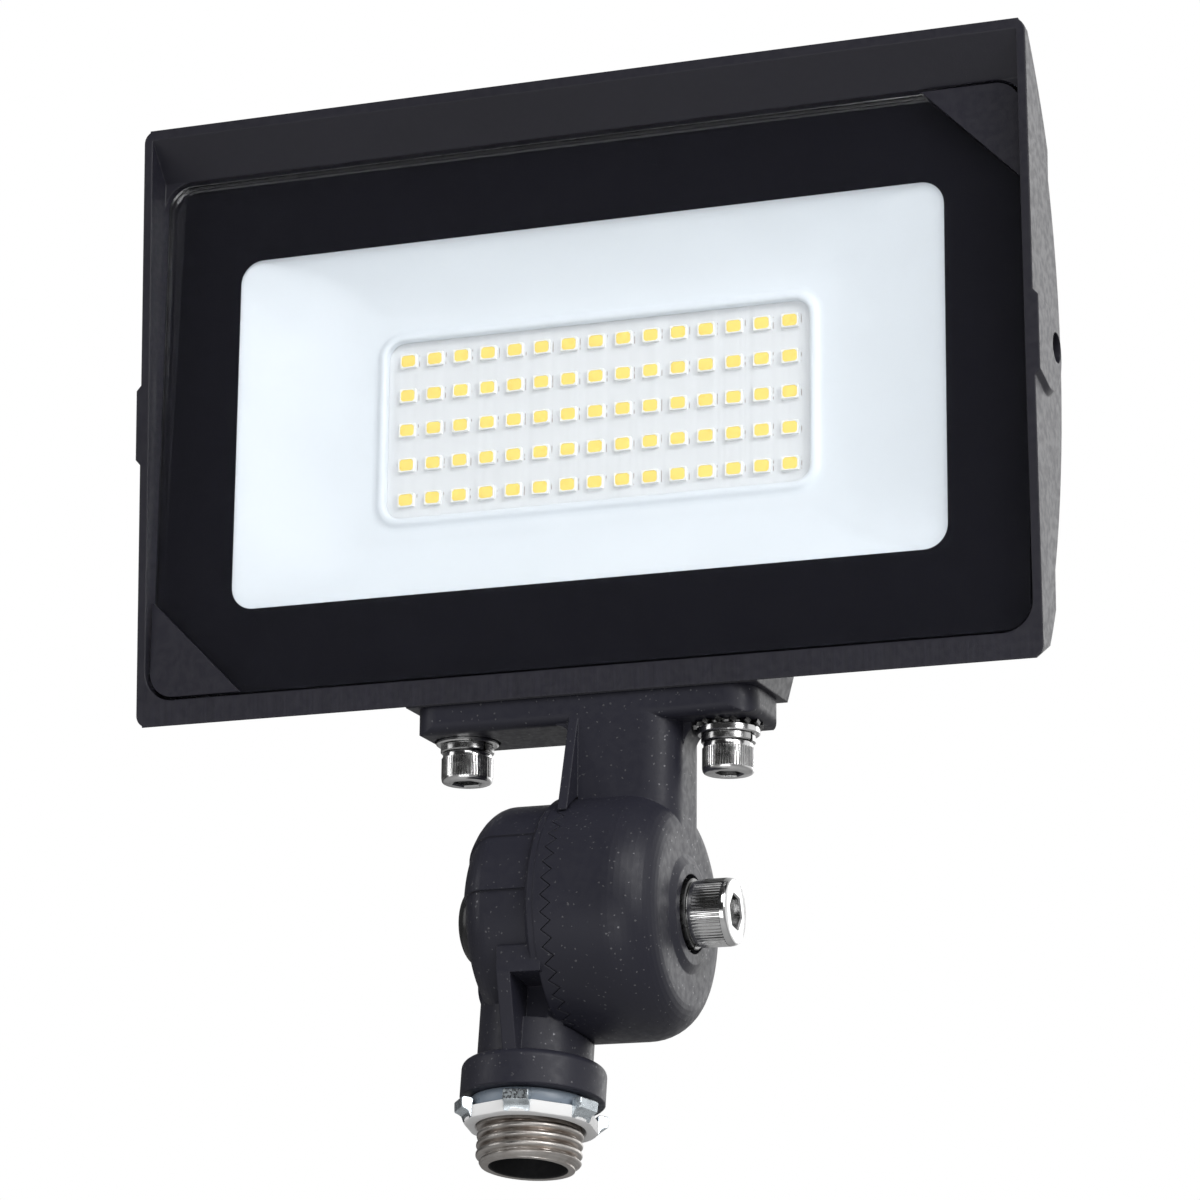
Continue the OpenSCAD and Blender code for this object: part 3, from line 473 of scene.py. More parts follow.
def grown(name, mesh, group, values, place=HERE):
    """The plain mesh that a geometry tree makes of a mesh, put in its place."""
    holder = new_object(name, mesh)
    modifier = holder.modifiers.new(name, "NODES")
    modifier.node_group = group
    for item in group.interface.items_tree:
        if item.item_type == "SOCKET" and item.in_out == "INPUT" and item.name in values:
            modifier[item.identifier] = values[item.name]
    graph = bpy.context.evaluated_depsgraph_get()
    made = bpy.data.meshes.new_from_object(holder.evaluated_get(graph), depsgraph=graph)
    bpy.data.objects.remove(holder)
    made.transform(place)
    made.shade_smooth()
    made.set_sharp_from_angle(angle=SHARP)
    return made


def joined(first, second, place=HERE):
    """One mesh of two, put in its place."""
    work = bmesh.new()
    work.from_mesh(first)
    work.from_mesh(second)
    work.to_mesh(first)
    work.free()
    first.transform(place)
    first.set_sharp_from_angle(angle=SHARP)
    return first


def repeated(name, shell, group, values, place, finish, *rest):
    """A piece that a geometry tree makes of a shell; rest is its body, node and slot, and the
    slot is not used.
    """
    mesh = grown(name, mesh_of(name, shell), group, {**values, "Material": finish}, place)
    piece(name, mesh, finish, *rest)


# Finishes


def powder_coat(name, shade, roughness, edge, drag=False, sparkle=0.0, gloss=0.5):
    """Fine-textured powder coat, where asked with lines dragged along the lower band of the
    front, or with bright specks."""
    band_top, band_full = -54.5 * MM, -56.5 * MM
    speck_colour, speck_scale, rarity = (0.2, 0.2, 0.21, 1.0), 3400.0, (0.987, 0.993)

    def build(tree):
        point = tree.coords()
        grain = tree.noise(point, 2600.0, 3.0, 0.6)
        cloud = tree.noise(point, 42.0, 2.0)
        base = tree.mix(tree.ramp(cloud, 0.3, 0.7), tint(shade, 0.94), tint(shade, 1.07))
        rough = tree.ramp(tree.noise(point, 700.0, 2.0), 0.3, 0.7,
                          roughness - 0.05, roughness + 0.05)
        height = grain
        if drag:
            inside = tree.coords(in_head=True)
            low = tree.ramp(tree.axis(inside, 2), band_top, band_full)
            lines = tree.streaks(inside, (1600.0, 20.0, 45.0), 3.0, 0.6)
            height = grain + lines * low * 1.6
            base = tree.mix(low * tree.ramp(lines, 0.35, 0.75) * 0.35, base, tint(shade, 1.9))
        links = {"Base Color": base, "Roughness": rough}
        if sparkle:
            cell = tree.add("ShaderNodeTexVoronoi", None,
                            {"Vector": point, "Scale": speck_scale}, "Color")
            speck = tree.ramp(tree.axis(cell, 0), *rarity) * sparkle
            links["Base Color"] = tree.mix(speck, base, speck_colour)
            links["Roughness"] = rough - speck * 0.16
            links["Metallic"] = speck
        links["Normal"] = tree.bump(height, 0.03 * MM, 0.5, edge)
        return links

    return material(name, {"Base Color": shade, "Roughness": roughness,
                           "Specular IOR Level": gloss}, build)


def bright_metal(name, shade, roughness):
    """Plated metal with faint scratches and darker patches."""

    def build(tree):
        point = tree.coords()
        patches = tree.noise(point, 240.0, 3.0, 0.6)
        scratches = tree.streaks(point, (300.0, 300.0, 2400.0))
        base = tree.mix(tree.ramp(patches, 0.35, 0.75), shade, tint(shade, 0.82))
        rough = tree.ramp(tree.noise(point, 900.0, 2.0), 0.25, 0.75,
                          roughness * 0.75, roughness * 1.35)
        return {"Base Color": base, "Roughness": rough,
                "Normal": tree.bump(scratches, 0.01 * MM, 0.35)}

    return material(name, {"Base Color": shade, "Roughness": roughness, "Metallic": 1.0}, build)


def crystal_zinc(name, shade):
    """Zinc plating: smooth on the flats, and grown in small crystals in places."""

    def build(tree):
        point = tree.coords()
        where = tree.ramp(tree.noise(point, 95.0, 1.0), 0.46, 0.58)
        cell = tree.add("ShaderNodeTexVoronoi", None, {"Vector": point, "Scale": 2600.0}, "Color")
        height = tree.axis(cell, 0) * where + tree.noise(point, 1500.0, 2.0) * 0.3
        patches = tree.ramp(tree.noise(point, 260.0, 2.0), 0.35, 0.7)
        return {"Base Color": tree.mix(patches, tint(shade, 1.12), tint(shade, 0.78)),
                "Roughness": tree.ramp(tree.axis(cell, 1), 0.0, 1.0, 0.22, 0.4),
                "Normal": tree.bump(height, 0.07 * MM, 0.5, 0.1 * MM)}

    return material(name, {"Base Color": shade, "Roughness": 0.3, "Metallic": 1.0}, build)


def bare_tube(name, shade):
    """Turned bare metal with brown stains, browner still in the grooves of its thread; inside its
    bore dull, and painted near-black as painted shade.
    """
    stain_and_groove_colour, painted_bore_shade = (0.20, 0.15, 0.12, 1.0), (0.006, 0.006, 0.007, 1.0)

    def build(tree):
        point = tree.coords()
        x, y, z = (tree.axis(point, i) for i in range(3))
        radius = tree.math("SQRT", x * x + y * y)
        # Painted shade: the bore is painted near-black, and made dull and not metallic
        inside = tree.ramp(radius, 7.75 * MM, 7.6 * MM)
        # The grooves of the thread, coloured brown like the stains
        deep = tree.ramp(radius, 10.0 * MM, 9.5 * MM) * tree.ramp(z, -11.4 * MM, -10.9 * MM)
        stain = tree.ramp(tree.noise(point, 260.0, 3.0, 0.6), 0.38, 0.7)
        turned = tree.streaks(point, (60.0, 60.0, 5200.0), 3.0)
        base = tree.mix(tree.ramp(turned, 0.3, 0.7), tint(shade, 0.88), tint(shade, 1.12))
        base = tree.mix(deep * 0.45 + stain * 0.3, base, stain_and_groove_colour)
        base = tree.mix(inside, base, painted_bore_shade)
        rough = tree.ramp(tree.noise(point, 700.0, 2.0), 0.3, 0.7, 0.3, 0.46)
        return {"Base Color": base, "Roughness": rough + inside * 0.4,
                "Metallic": 1.0 - inside,
                "Normal": tree.bump(turned, 0.02 * MM, 0.5)}

    return material(name, {"Base Color": shade, "Roughness": 0.4, "Metallic": 1.0}, build)


def plain_finish(name, shade, roughness, grain=900.0, depth=0.01 * MM):
    """Moulded plastic, paint or rubber, with a faint cloud and a fine grain."""

    def build(tree):
        point = tree.coords()
        base = tree.mix(tree.noise(point, 55.0, 2.0), tint(shade, 0.96), tint(shade, 1.03))
        rough = tree.ramp(tree.noise(point, 300.0, 2.0), 0.3, 0.7,
                          roughness - 0.04, roughness + 0.04)
        return {"Base Color": base, "Roughness": rough,
                "Normal": tree.bump(tree.noise(point, grain, 2.0), depth, 0.4)}

    return material(name, {"Base Color": shade, "Roughness": roughness}, build)


def clear_glass(name):
    """Clear glass that lets the lamps' light straight through."""

    def build(tree):
        waves = tree.noise(tree.coords(), 14.0, 1.0)
        smear = tree.ramp(tree.noise(tree.coords(), 30.0, 3.0), 0.3, 0.8, 0.0, 0.03)
        return {"Roughness": smear, "Normal": tree.bump(waves, 0.04 * MM, 0.15)}

    made = material(name, {"Transmission Weight": 1.0, "IOR": 1.5}, build)
    tree = Tree(made.node_tree)
    shader = tree.nodes["Principled BSDF"]
    # Set here, so that the glass stays grey and easy to see in the viewport
    shader.inputs["Base Color"].default_value = (0.985, 0.995, 1.0, 1.0)
    glass = Link(tree, shader.outputs[0])
    through = tree.add("ShaderNodeBsdfTransparent")
    both = tree.add("ShaderNodeMixShader", None, {0: tree.ray("Shadow"), 1: glass, 2: through})
    tree.links.new(both.socket, tree.nodes["Material Output"].inputs["Surface"])
    return made


def board_finish(name, shade, head):
    """White solder mask with brushed streaks and a broken printed line beside each LED."""
    # Added to a place counted in pitches, so that its fraction is a half at each LED
    half_way = 100.5
    print_colour = (0.16, 0.09, 0.06, 1.0)
    # The line's place beside an LED in millimetres, and where its edges start and are full
    line_x, line_half_w, line_half_h = 2.2, (0.12, 0.04), (1.3, 1.15)

    def build(tree):
        inside = tree.coords(in_head=True)
        x, z = tree.axis(inside, 0), tree.axis(inside, 2)
        streaks = tree.streaks(inside, (900.0, 10.0, 14.0), 3.0)
        base = tree.mix(tree.ramp(streaks, 0.3, 0.7), tint(shade, 0.97), tint(shade, 1.02))
        line, field = 1.0, 1.0
        for place, pitch, count, middle, edge in (
                (x, head.led_pitch_x, head.led_columns, line_x, line_half_w),
                (z, head.led_pitch_z, head.led_rows, 0.0, line_half_h)):
            from_led = (tree.math("FRACT", place / pitch + half_way) - 0.5) * (pitch / MM)
            line = tree.ramp(tree.math("ABSOLUTE", from_led - middle), *edge) * line
            field = tree.math("LESS_THAN", tree.math("ABSOLUTE", place),
                              count * pitch / 2) * field
        broken = tree.ramp(tree.noise(inside, 900.0, 1.0), 0.42, 0.56)
        return {"Base Color": tree.mix(line * broken * field * 0.75, base, print_colour),
                "Roughness": tree.ramp(streaks, 0.2, 0.8, 0.38, 0.5)}

    return material(name, {"Base Color": shade}, build)


# Shapes of the pieces


def knurled_head(seat_r, height, ridges, hex_flats, shank_r, shank, collar=1.1):
    """Socket head screw along Z: seat at zero, a smooth collar, knurl and rim above it."""
    count = ridges * 4
    knurl_depth = 0.26
    neck = seat_r - 0.24

    def knurl(a):
        return seat_r - knurl_depth * (int(round(a * count / (2 * math.pi))) % 4 in (2, 3))

    def socket(a):
        return hex_flats / 2 / math.cos((a + math.pi / 6) % (math.pi / 3) - math.pi / 6)

    rings = [(shank_r * 0.8, -shank), (shank_r, -shank + 0.5), (shank_r, -0.3),
             (shank_r + 0.3, 0.0), (neck - 0.3, 0.0), (neck - 0.06, 0.1), (neck, 0.3),
             (neck, collar - 0.12), (knurl, collar), (knurl, height * 0.83),
             (seat_r - 0.03, height * 0.85), (seat_r - 0.05, height * 0.88),
             (seat_r - 0.14, height * 0.94), (seat_r - 0.34, height * 0.98),
             (seat_r - 0.6, height), (lambda a: socket(a) + 0.3, height),
             (socket, height - 0.3), (socket, height * 0.48),
             (lambda a: socket(a) * 0.5, height * 0.42)]
    return lathe(rings, count, loop=False)


def split_washer(outer, inner, thickness, lift=0.28, gap=7.0):
    """Spring washer: a square wire coiled once, its two cut ends stepped and set apart."""
    half_w, half_t, soft = (outer - inner) / 2, thickness / 2, 0.22
    section = [(-half_w + soft, -half_t), (half_w - soft, -half_t), (half_w, -half_t + soft),
               (half_w, half_t - soft), (half_w - soft, half_t), (-half_w + soft, half_t),
               (-half_w, half_t - soft), (-half_w, -half_t + soft)]
    middle = (outer + inner) / 2
    rings, steps = [], 72
    for i in range(steps + 1):
        t = i / steps
        a = math.radians(gap / 2 + t * (360 - gap))
        rise = half_t + (t - 0.5) * lift
        rings.append([((middle + dx) * math.cos(a), (middle + dx) * math.sin(a),
                       min(max(rise + dz, 0.0), thickness)) for dx, dz in section])
    return skin(rings)


def flat_washer(outer, inner, thickness, soft=0.2):
    """Stamped washer on zero, its edges rounded."""
    return lathe([(inner, soft), (inner + soft, 0.0), (outer - soft, 0.0), (outer, soft),
                  (outer, thickness - soft), (outer - soft * 1.4, thickness),
                  (inner + soft, thickness), (inner, thickness - soft)], 72)


def washer_tooth(inner, outer, half_w, low, high, twist):
    """Tapered tooth along X, twisted about X towards its outer end."""
    rings, steps, taper = [], 6, 0.18
    for i in range(steps + 1):
        t = i / steps
        a = twist * t
        ring = []
        for sy, sz in ((-1, -1), (1, -1), (1, 1), (-1, 1)):
            y, z = sy * half_w * (1 - taper * t), sz * (high - low) / 2
            ring.append((inner + t * (outer - inner), y * math.cos(a) - z * math.sin(a),
                         (low + high) / 2 + y * math.sin(a) + z * math.cos(a)))
        rings.append(ring)
    return skin(rings)


def reflector_shell(head):
    """The white pan: flange, soft slopes, floor and raised bead, with its back."""
    window = (head.window_w / MM / 2 + 1.0, head.window_h / MM / 2 + 1.0)
    opening = (head.opening_w / MM / 2, head.opening_h / MM / 2)
    foot = (opening[0] + 4.6, opening[1] + 4.6)
    rings = [(window[0] + 4, window[1] + 4, 8.8, 4.6), (window[0] + 4, window[1] + 4, 8.8, 3.2),
             (window[0] + 0.4, window[1] + 0.4, 6.0, 3.2), (window[0], window[1], 5.8, 3.35)]
    steps, corner, top, fall, steepness = 16, 5.8, 3.35, 7.45, 1.35
    for i in range(1, steps + 1):
        t = i / steps
        swell = 5.5 * math.sin(math.pi * min(1.0, t * 1.15)) * (1 - 0.3 * t)
        rings.append((window[0] + (foot[0] - window[0]) * t,
                      window[1] + (foot[1] - window[1]) * t, corner + swell + 1.5 * t,
                      top + fall * (1 - (1 - t) ** steepness)))
    bead = [(3.0, 5.8, 10.95), (2.3, 5.3, 10.9), (1.9, 5.0, 10.76), (1.6, 4.8, 10.5),
            (1.3, 4.6, 10.27), (0.95, 4.3, 10.16), (0.6, 4.0, 10.16), (0.25, 3.7, 10.3),
            (0.03, 3.5, 10.6), (0.0, 3.5, 11.9)]
    rings += [(opening[0] + grow, opening[1] + grow, r, y) for grow, r, y in bead]
    rings += [(opening[0] + 2.2, opening[1] + 2.2, 5.0, 11.95),
              (foot[0] + 1.0, foot[1] + 1.0, 8.0, 11.95),
              (window[0] + 1.4, window[1] + 1.4, 7.2, 4.7)]
    return skin([rounded_ring(w, h, r, y) for w, h, r, y in rings], loop=True)


def glass_shell(head):
    """Tempered glass with a ground arris, a hair thinner than its seat."""
    w, h, a = head.glass_w / MM / 2, head.glass_h / MM / 2, head.glass_arris / MM
    corner, back = 5.3, 2.98
    rings = [(w - a, h - a, corner - a, 0.0), (w, h, corner, a), (w, h, corner, back - a),
             (w - a, h - a, corner - a, back)]
    return skin([rounded_ring(*ring) for ring in rings])


def cut_ring(half_w, half_h, cut, z):
    """Ring round a rectangle with its corners cut off."""
    return [(half_w - cut, -half_h, z), (half_w, -half_h + cut, z), (half_w, half_h - cut, z),
            (half_w - cut, half_h, z), (-half_w + cut, half_h, z), (-half_w, half_h - cut, z),
            (-half_w, -half_h + cut, z), (-half_w + cut, -half_h, z)]


def led_package():
    """White package with a sunken face, front towards +Z."""
    return skin([cut_ring(1.75, 1.4, 0.08, -0.8), cut_ring(1.75, 1.4, 0.08, -0.06),
                 cut_ring(1.7, 1.35, 0.1, 0.0), cut_ring(1.52, 1.21, 0.42, 0.0),
                 cut_ring(1.46, 1.15, 0.42, -0.3)])


def led_face():
    """Slightly domed phosphor that fills the sunken face."""
    return skin([cut_ring(1.48, 1.17, 0.44, -0.25), cut_ring(1.48, 1.17, 0.44, -0.06),
                 cut_ring(0.95, 0.75, 0.35, -0.02), cut_ring(0.3, 0.25, 0.1, -0.01)])


def nipple_shell():
    """Tube in rings close enough for its thread, with a bevelled end."""
    rings = [(7.7, -12.9), (8.95, -12.9), (9.15, -12.82), (9.35, -12.55)]
    rings += [(9.5 + 0.7 * t, -12.35 + 1.0 * t) for t in np.linspace(0, 1, 8)]
    rings += [(10.2, z) for z in np.linspace(-11.2, -5.75, 42)]
    rings += [(10.2, -5.6), (10.4, -5.6), (10.4, 5.5), (7.45, 5.5), (7.45, -12.65)]
    return lathe(rings, 120)


def locknut_ring():
    """Stamped hexagonal ring, its corners cut back under the lugs."""
    flat, corner = 12.45, 12.95

    def outline(a, grow=0.0):
        from_flat = (a - LUG_TURN) % (math.pi / 3) - math.pi / 6
        return min(flat / math.cos(from_flat), corner) + grow

    rings = [(10.5, -5.1), (10.7, -5.3), (lambda a: outline(a, -0.45), -5.3),
             (lambda a: outline(a, -0.12), -5.12), (outline, -4.85), (outline, -2.95),
             (lambda a: outline(a, -0.12), -2.78), (lambda a: outline(a, -0.35), -2.7),
             (10.7, -2.7), (10.5, -2.85)]
    return lathe(rings, 180)


def locknut_lug(half_w=2.5, edge=0.16):
    """Lug bent up at a corner of the locknut, along X, hollow underneath."""
    side = [(12.1, -4.9), (12.75, -5.1), (12.95, -4.6), (13.25, -4.05), (13.85, -3.72),
            (14.5, -3.5), (14.68, -3.3), (14.76, -2.4), (14.8, -1.55), (14.62, -1.3),
            (14.3, -1.2), (12.75, -1.2), (12.52, -1.4), (12.5, -2.6), (12.1, -2.75)]
    middle = np.mean(side, axis=0)
    rings = []
    for y, shrink in ((-half_w, edge), (edge - half_w, 0.0), (half_w - edge, 0.0),
                      (half_w, edge)):
        ring = []
        for point in side:
            inward = middle - np.array(point)
            x, z = np.array(point) + inward / np.linalg.norm(inward) * shrink
            ring.append((x, y, z))
        rings.append(ring)
    return skin(rings)


# Operators


class FLOODLIGHT_OT_stage(bpy.types.Operator):
    """Sets up the camera, the lamps, the world and the floor"""
    bl_idname = "flood_light.stage"
    bl_label = "Stage"

    def execute(self, context):
        stage = context.scene.flood_light_stage
        self.camera(context.scene, stage)
        self.world(context.scene)
        for lamp in (
                ("soft_right", (1.06, -0.68, 0.55), (0.0, 0.0, 0.09), (0.5, 0.85), 7.5),
                ("soft_left", (-1.1, -0.7, 0.32), (0.0, 0.0, 0.1), (0.5, 0.9), 2.3),
                ("fill_front", (0.69, -1.42, 0.92), (0.0, 0.0, 0.12), (1.0, 0.8), 8.7),
                ("strip_low", (0.15, -1.2, -0.5), (0.0, 0.0, 0.12), (1.0, 0.5), 3.2),
                ("soft_behind", (0.6, 1.45, 0.75), (0.05, 0.0, 0.12), (1.1, 1.1), 4.0)):
            self.lamp(*lamp)
        self.floor(stage)
        context.scene.view_settings.view_transform = "Standard"
        return {"FINISHED"}

    def camera(self, scene, stage):
        flat = math.cos(stage.elevation)
        ahead = Vector((-math.sin(stage.azimuth) * flat, math.cos(stage.azimuth) * flat,
                        math.sin(stage.elevation)))
        viewed = Vector((9.07, -4.15, 101.48)) * MM
        aim = ahead.to_track_quat("-Z", "Y").to_matrix().to_4x4()
        data = bpy.data.cameras.new("view")
        data.lens = stage.lens_mm
        data.sensor_width = 36.0
        data.clip_start = 0.01
        data.clip_end = 20.0
        scene.camera = new_object("view", data)
        scene.camera.matrix_world = (Matrix.Translation(viewed - ahead * stage.distance) @ aim
                                     @ Matrix.Rotation(stage.roll, 4, "Z"))

    def world(self, scene):
        """White to the camera; to gloss, bright behind and beside the object, dark in front."""
        world = bpy.data.worlds.new("studio")
        scene.world = world
        world.use_nodes = True
        tree = Tree(world.node_tree)
        ahead = tree.add("ShaderNodeTexCoord", output="Generated")
        side, depth, up = (tree.axis(ahead, i) for i in range(3))
        back = tree.ramp(depth, -0.55, 0.25) * tree.ramp(side, -0.65, 0.1, 0.08, 1.0)
        right = tree.ramp(side, 0.35, 0.95) * 0.45
        glossy = (tree.math("MAXIMUM", back, right) * tree.ramp(up, 0.98, 0.5, 0.35, 0.88)
                  * tree.ramp(up, -0.5, 0.25, 0.08, 1.0) + 0.02)
        diffuse = 0.68
        level = tree.add("ShaderNodeMix", {"data_type": "FLOAT"},
                         {0: tree.ray("Glossy"), 2: diffuse, 3: glossy})
        strength = tree.math("MAXIMUM", level, tree.ray("Camera"))
        background = world.node_tree.nodes["Background"]
        background.inputs["Color"].default_value = (1.0, 1.0, 1.0, 1.0)
        tree.links.new(strength.socket, background.inputs["Strength"])

    def lamp(self, name, place, aim, size, power):
        """Soft panel at a place, turned to what it aims at, in metres and watts."""
        data = bpy.data.lights.new(name, "AREA")
        data.shape = "RECTANGLE"
        data.size, data.size_y = size
        data.energy = power
        towards = (Vector(aim) - Vector(place)).to_track_quat("-Z", "Y")
        new_object(name, data).matrix_world = (Matrix.Translation(place)
                                               @ towards.to_matrix().to_4x4())

    def floor_finish(self, tree):
        """Pale to the camera and through the glass, and dimmer to what lights the object."""
        seen = tree.math("MAXIMUM", tree.ray("Camera"), tree.ray("Transmission"))
        dim, pale = (0.38, 0.38, 0.38, 1.0), (0.86, 0.86, 0.86, 1.0)
        return {"Base Color": tree.mix(seen, dim, pale)}

    def floor(self, stage):
        reach, drop = 6000.0, -stage.floor_drop / MM
        corners = np.array([(x * reach, y * reach, drop)
                            for x, y in ((-1, -1), (1, -1), (1, 1), (-1, 1))])
        mesh = mesh_of("floor", (corners, [(0, 1, 2, 3)]))
        mesh.materials.append(material("pale_floor", {"Roughness": 0.7}, self.floor_finish))
        new_object("floor", mesh)


class FLOODLIGHT_OT_castings(bpy.types.Operator):
    """Coats the housing, its cover and clips, and both halves of the knuckle"""
    bl_idname = "flood_light.castings"
    bl_label = "Castings"

    def execute(self, context):
        finish = context.scene.flood_light_finishes
        dress(powder_coat("housing_powder_coat", finish.coat, 0.43, 0.45 * MM, drag=True),
              "housing", "driver_cover")
        # Painted light: the clips wear the housing's coat, made a tenth lighter than it
        dress(powder_coat("clip_coat", tint(finish.coat, 1.1), 0.42, 0.15 * MM),
              "lower_glass_clip", "upper_glass_clip")
        dress(powder_coat("knuckle_satin_coat", finish.knuckle, 0.42, 0.4 * MM, sparkle=0.55,
                          gloss=0.3), "upper_knuckle", "lower_knuckle")
        return {"FINISHED"}


class FLOODLIGHT_OT_glass(bpy.types.Operator):
    """Makes the tempered glass with its printed border and seal"""
    bl_idname = "flood_light.glass"
    bl_label = "Glass"

    def execute(self, context):
        shell = glass_shell(context.scene.flood_light_head)
        border = cooled(tint(context.scene.flood_light_finishes.border, 0.66), 1.2)
        piece("tempered_glass", mesh_of("tempered_glass", shell, HEAD),
              clear_glass("clear_tempered_glass"), "head", "lens_glass", "lens_glass")
        dress(plain_finish("black_print", border, 0.12), "lens_border")
        dress(plain_finish("black_rubber", (0.02, 0.02, 0.02, 1.0), 0.75, 1400.0, 0.02 * MM),
              "glass_gasket", "cover_gasket", "bracket_seal")
        return {"FINISHED"}


class FLOODLIGHT_OT_reflector(bpy.types.Operator):
    """Makes the white reflector pan"""
    bl_idname = "flood_light.reflector"
    bl_label = "Reflector"

    def execute(self, context):
        shell = reflector_shell(context.scene.flood_light_head)
        white = cooled(tint(context.scene.flood_light_finishes.reflector, 0.91), 0.98)
        piece("white_pan", mesh_of("white_pan", shell, HEAD, math.radians(50.0)),
              plain_finish("reflector_satin_white", white, 0.42, 1200.0, 0.006 * MM), "head",
              "reflector", "reflector_white")
        return {"FINISHED"}


class FLOODLIGHT_OT_light_board(bpy.types.Operator):
    """Makes the LED board, its packages and phosphor faces, and dresses what is behind"""
    bl_idname = "flood_light.light_board"
    bl_label = "Light Board"

    def execute(self, context):
        head = context.scene.flood_light_head
        finish = context.scene.flood_light_finishes
        dress(board_finish("white_solder_mask", tint(finish.board, 0.96), head), "led_board")
        grid = grid_tree()
        place = HEAD @ moved_by(0.0, LED_DEPTH, 0.0) @ TO_FRONT
        values = {"Columns": head.led_columns, "Rows": head.led_rows,
                  "Pitch X": head.led_pitch_x, "Pitch Y": head.led_pitch_z, "Step": 0.0,
                  "Turn": math.radians(1.6), "Seed": 7}
        for name, shell, shade, rough, *rest in (
                ("led_bodies", led_package(), finish.led, 0.4, "led_packages", "led_body"),
                ("phosphor_faces", led_face(), finish.phosphor, 0.3, "led_phosphor",
                 "led_phosphor")):
            made = plain_finish(name + "_finish", shade, rough, 2000.0, 0.004 * MM)
            repeated(name, shell, grid, values, place, made, "head", *rest)
        dress(bright_metal("small_screw_zinc", (0.62, 0.62, 0.6, 1.0), 0.3), "board_screws")
        dress(plain_finish("potted_driver", (0.10, 0.11, 0.12, 1.0), 0.55), "led_driver")
        return {"FINISHED"}


class FLOODLIGHT_OT_flange_fasteners(bpy.types.Operator):
    """Makes both stacks under the flange: toothed, flat and spring washer, and screw"""
    bl_idname = "flood_light.flange_fasteners"
    bl_label = "Flange Fasteners"

    def execute(self, context):
        finish = context.scene.flood_light_finishes
        fasteners = context.scene.flood_light_fasteners
        plating = bright_metal("bright_plating", finish.chrome, 0.16)
        dark = bright_metal("dark_burred_steel", (0.22, 0.22, 0.22, 1.0), 0.26)
        spring = bright_metal("spring_plating", tint(finish.chrome, 0.72), 0.22)

        def under_flange(x, drop):
            """Local +Z down, from a point this far right of the pivot's and below the flange."""
            return LEANING_PIVOT @ moved_by(x, 0, FLANGE_HEIGHT - drop) @ DOWNWARDS

        # The left stack is sunk into the casting, and the right one stands on its toothed
        # washer, lower by the step
        middle, span, sunk, step, flat, split = 1.0, 54.5, 0.7, 1.7, 1.4, 1.6
        grid = grid_tree()
        values = {"Columns": 2, "Rows": 1, "Pitch X": span * MM, "Pitch Y": 0.0,
                  "Step": step * MM, "Turn": 0.6, "Seed": 3}
        for name, shell, made, drop, *rest in (
                ("flange_socket_screws",
                 knurled_head(5.1, 6.0, fasteners.screw_ridges, hex_flats=5.0, shank_r=2.99,
                              shank=17.5), plating, flat + split, "flange_screws",
                 "bolt_chrome"),
                ("flange_split_washers", split_washer(5.3, 3.2, split), spring, flat,
                 "flange_spring_washers", "bright_zinc"),
                ("flange_plain_washers", flat_washer(6.2, 3.2, flat), plating, 0.0,
                 "flange_flat_washers", "bright_zinc")):
            repeated(name, shell, grid, values, under_flange(middle, drop - sunk), made,
                     "head", *rest)

        tooth = washer_tooth(inner=4.4, outer=6.75, half_w=0.72, low=0.06, high=0.94,
                             twist=math.radians(-32.0))
        teeth = grown("washer_teeth", mesh_of("washer_tooth", tooth), ring_tree(),
                      {"Count": fasteners.washer_teeth, "Start": 0.2, "Material": dark})
        web = mesh_of("washer_web", flat_washer(4.9, 3.2, 0.6, 0.1),
                      Matrix.Translation((0, 0, 0.2 * MM)))
        washer = joined(teeth, web, under_flange(middle + span / 2, 0.0))
        piece("flange_toothed_washer", washer, dark, "head", "flange_tooth_washer",
              "dark_steel")
        return {"FINISHED"}


class FLOODLIGHT_OT_pivot_fasteners(bpy.types.Operator):
    """Makes the pivot bolt with its washers, and the plug over its nut"""
    bl_idname = "flood_light.pivot_fasteners"
    bl_label = "Pivot Fasteners"

    def execute(self, context):
        finish = context.scene.flood_light_finishes
        ridges = context.scene.flood_light_fasteners.bolt_ridges
        arc = [(5.0 + 3.3 * math.cos(a), -1.0 - 3.3 * math.sin(a))
               for a in np.linspace(0.1, math.pi / 2, 12)]
        plug = lathe([(0.01, 0.0), (8.3, 0.0), (8.3, -1.0), *arc, (3.0, -4.3), (0.01, -4.3)],
                     72, loop=False)
        bolt = knurled_head(6.6, 8.0, ridges, hex_flats=6.1, shank_r=4.0, shank=42.0)
        for name, shell, seat, made, *rest in (
                ("pivot_socket_bolt", bolt, BOLT_SEAT,
                 bright_metal("bolt_plating", finish.chrome, 0.13), "pivot_bolt", "pivot_bolt",
                 "bolt_chrome"),
                ("pivot_split_washer", split_washer(6.9, 4.2, 2.0), SPRING_SEAT,
                 bright_metal("oiled_spring_steel", (0.17, 0.17, 0.17, 1.0), 0.3),
                 "clamp_stack", "pivot_spring_washer", "dark_steel"),
                ("pivot_plain_washer", flat_washer(7.4, 4.2, 1.5), WASHER_SEAT,
                 bright_metal("washer_zinc", finish.chrome, 0.2), "clamp_stack",
                 "pivot_flat_washer", "bright_zinc"),
                ("domed_plug", plug, PLUG_SEAT,
                 plain_finish("smooth_black_plastic", (0.015, 0.015, 0.016, 1.0), 0.25),
                 "stem", "nut_cap", "cap_black")):
            place = UPRIGHT_PIVOT @ moved_by(seat, 0, 0) @ ALONG_X
            piece(name, mesh_of(name, shell, place), made, *rest)
        dress(bright_metal("nut_zinc", finish.zinc, 0.28), "pivot_nut")
        return {"FINISHED"}


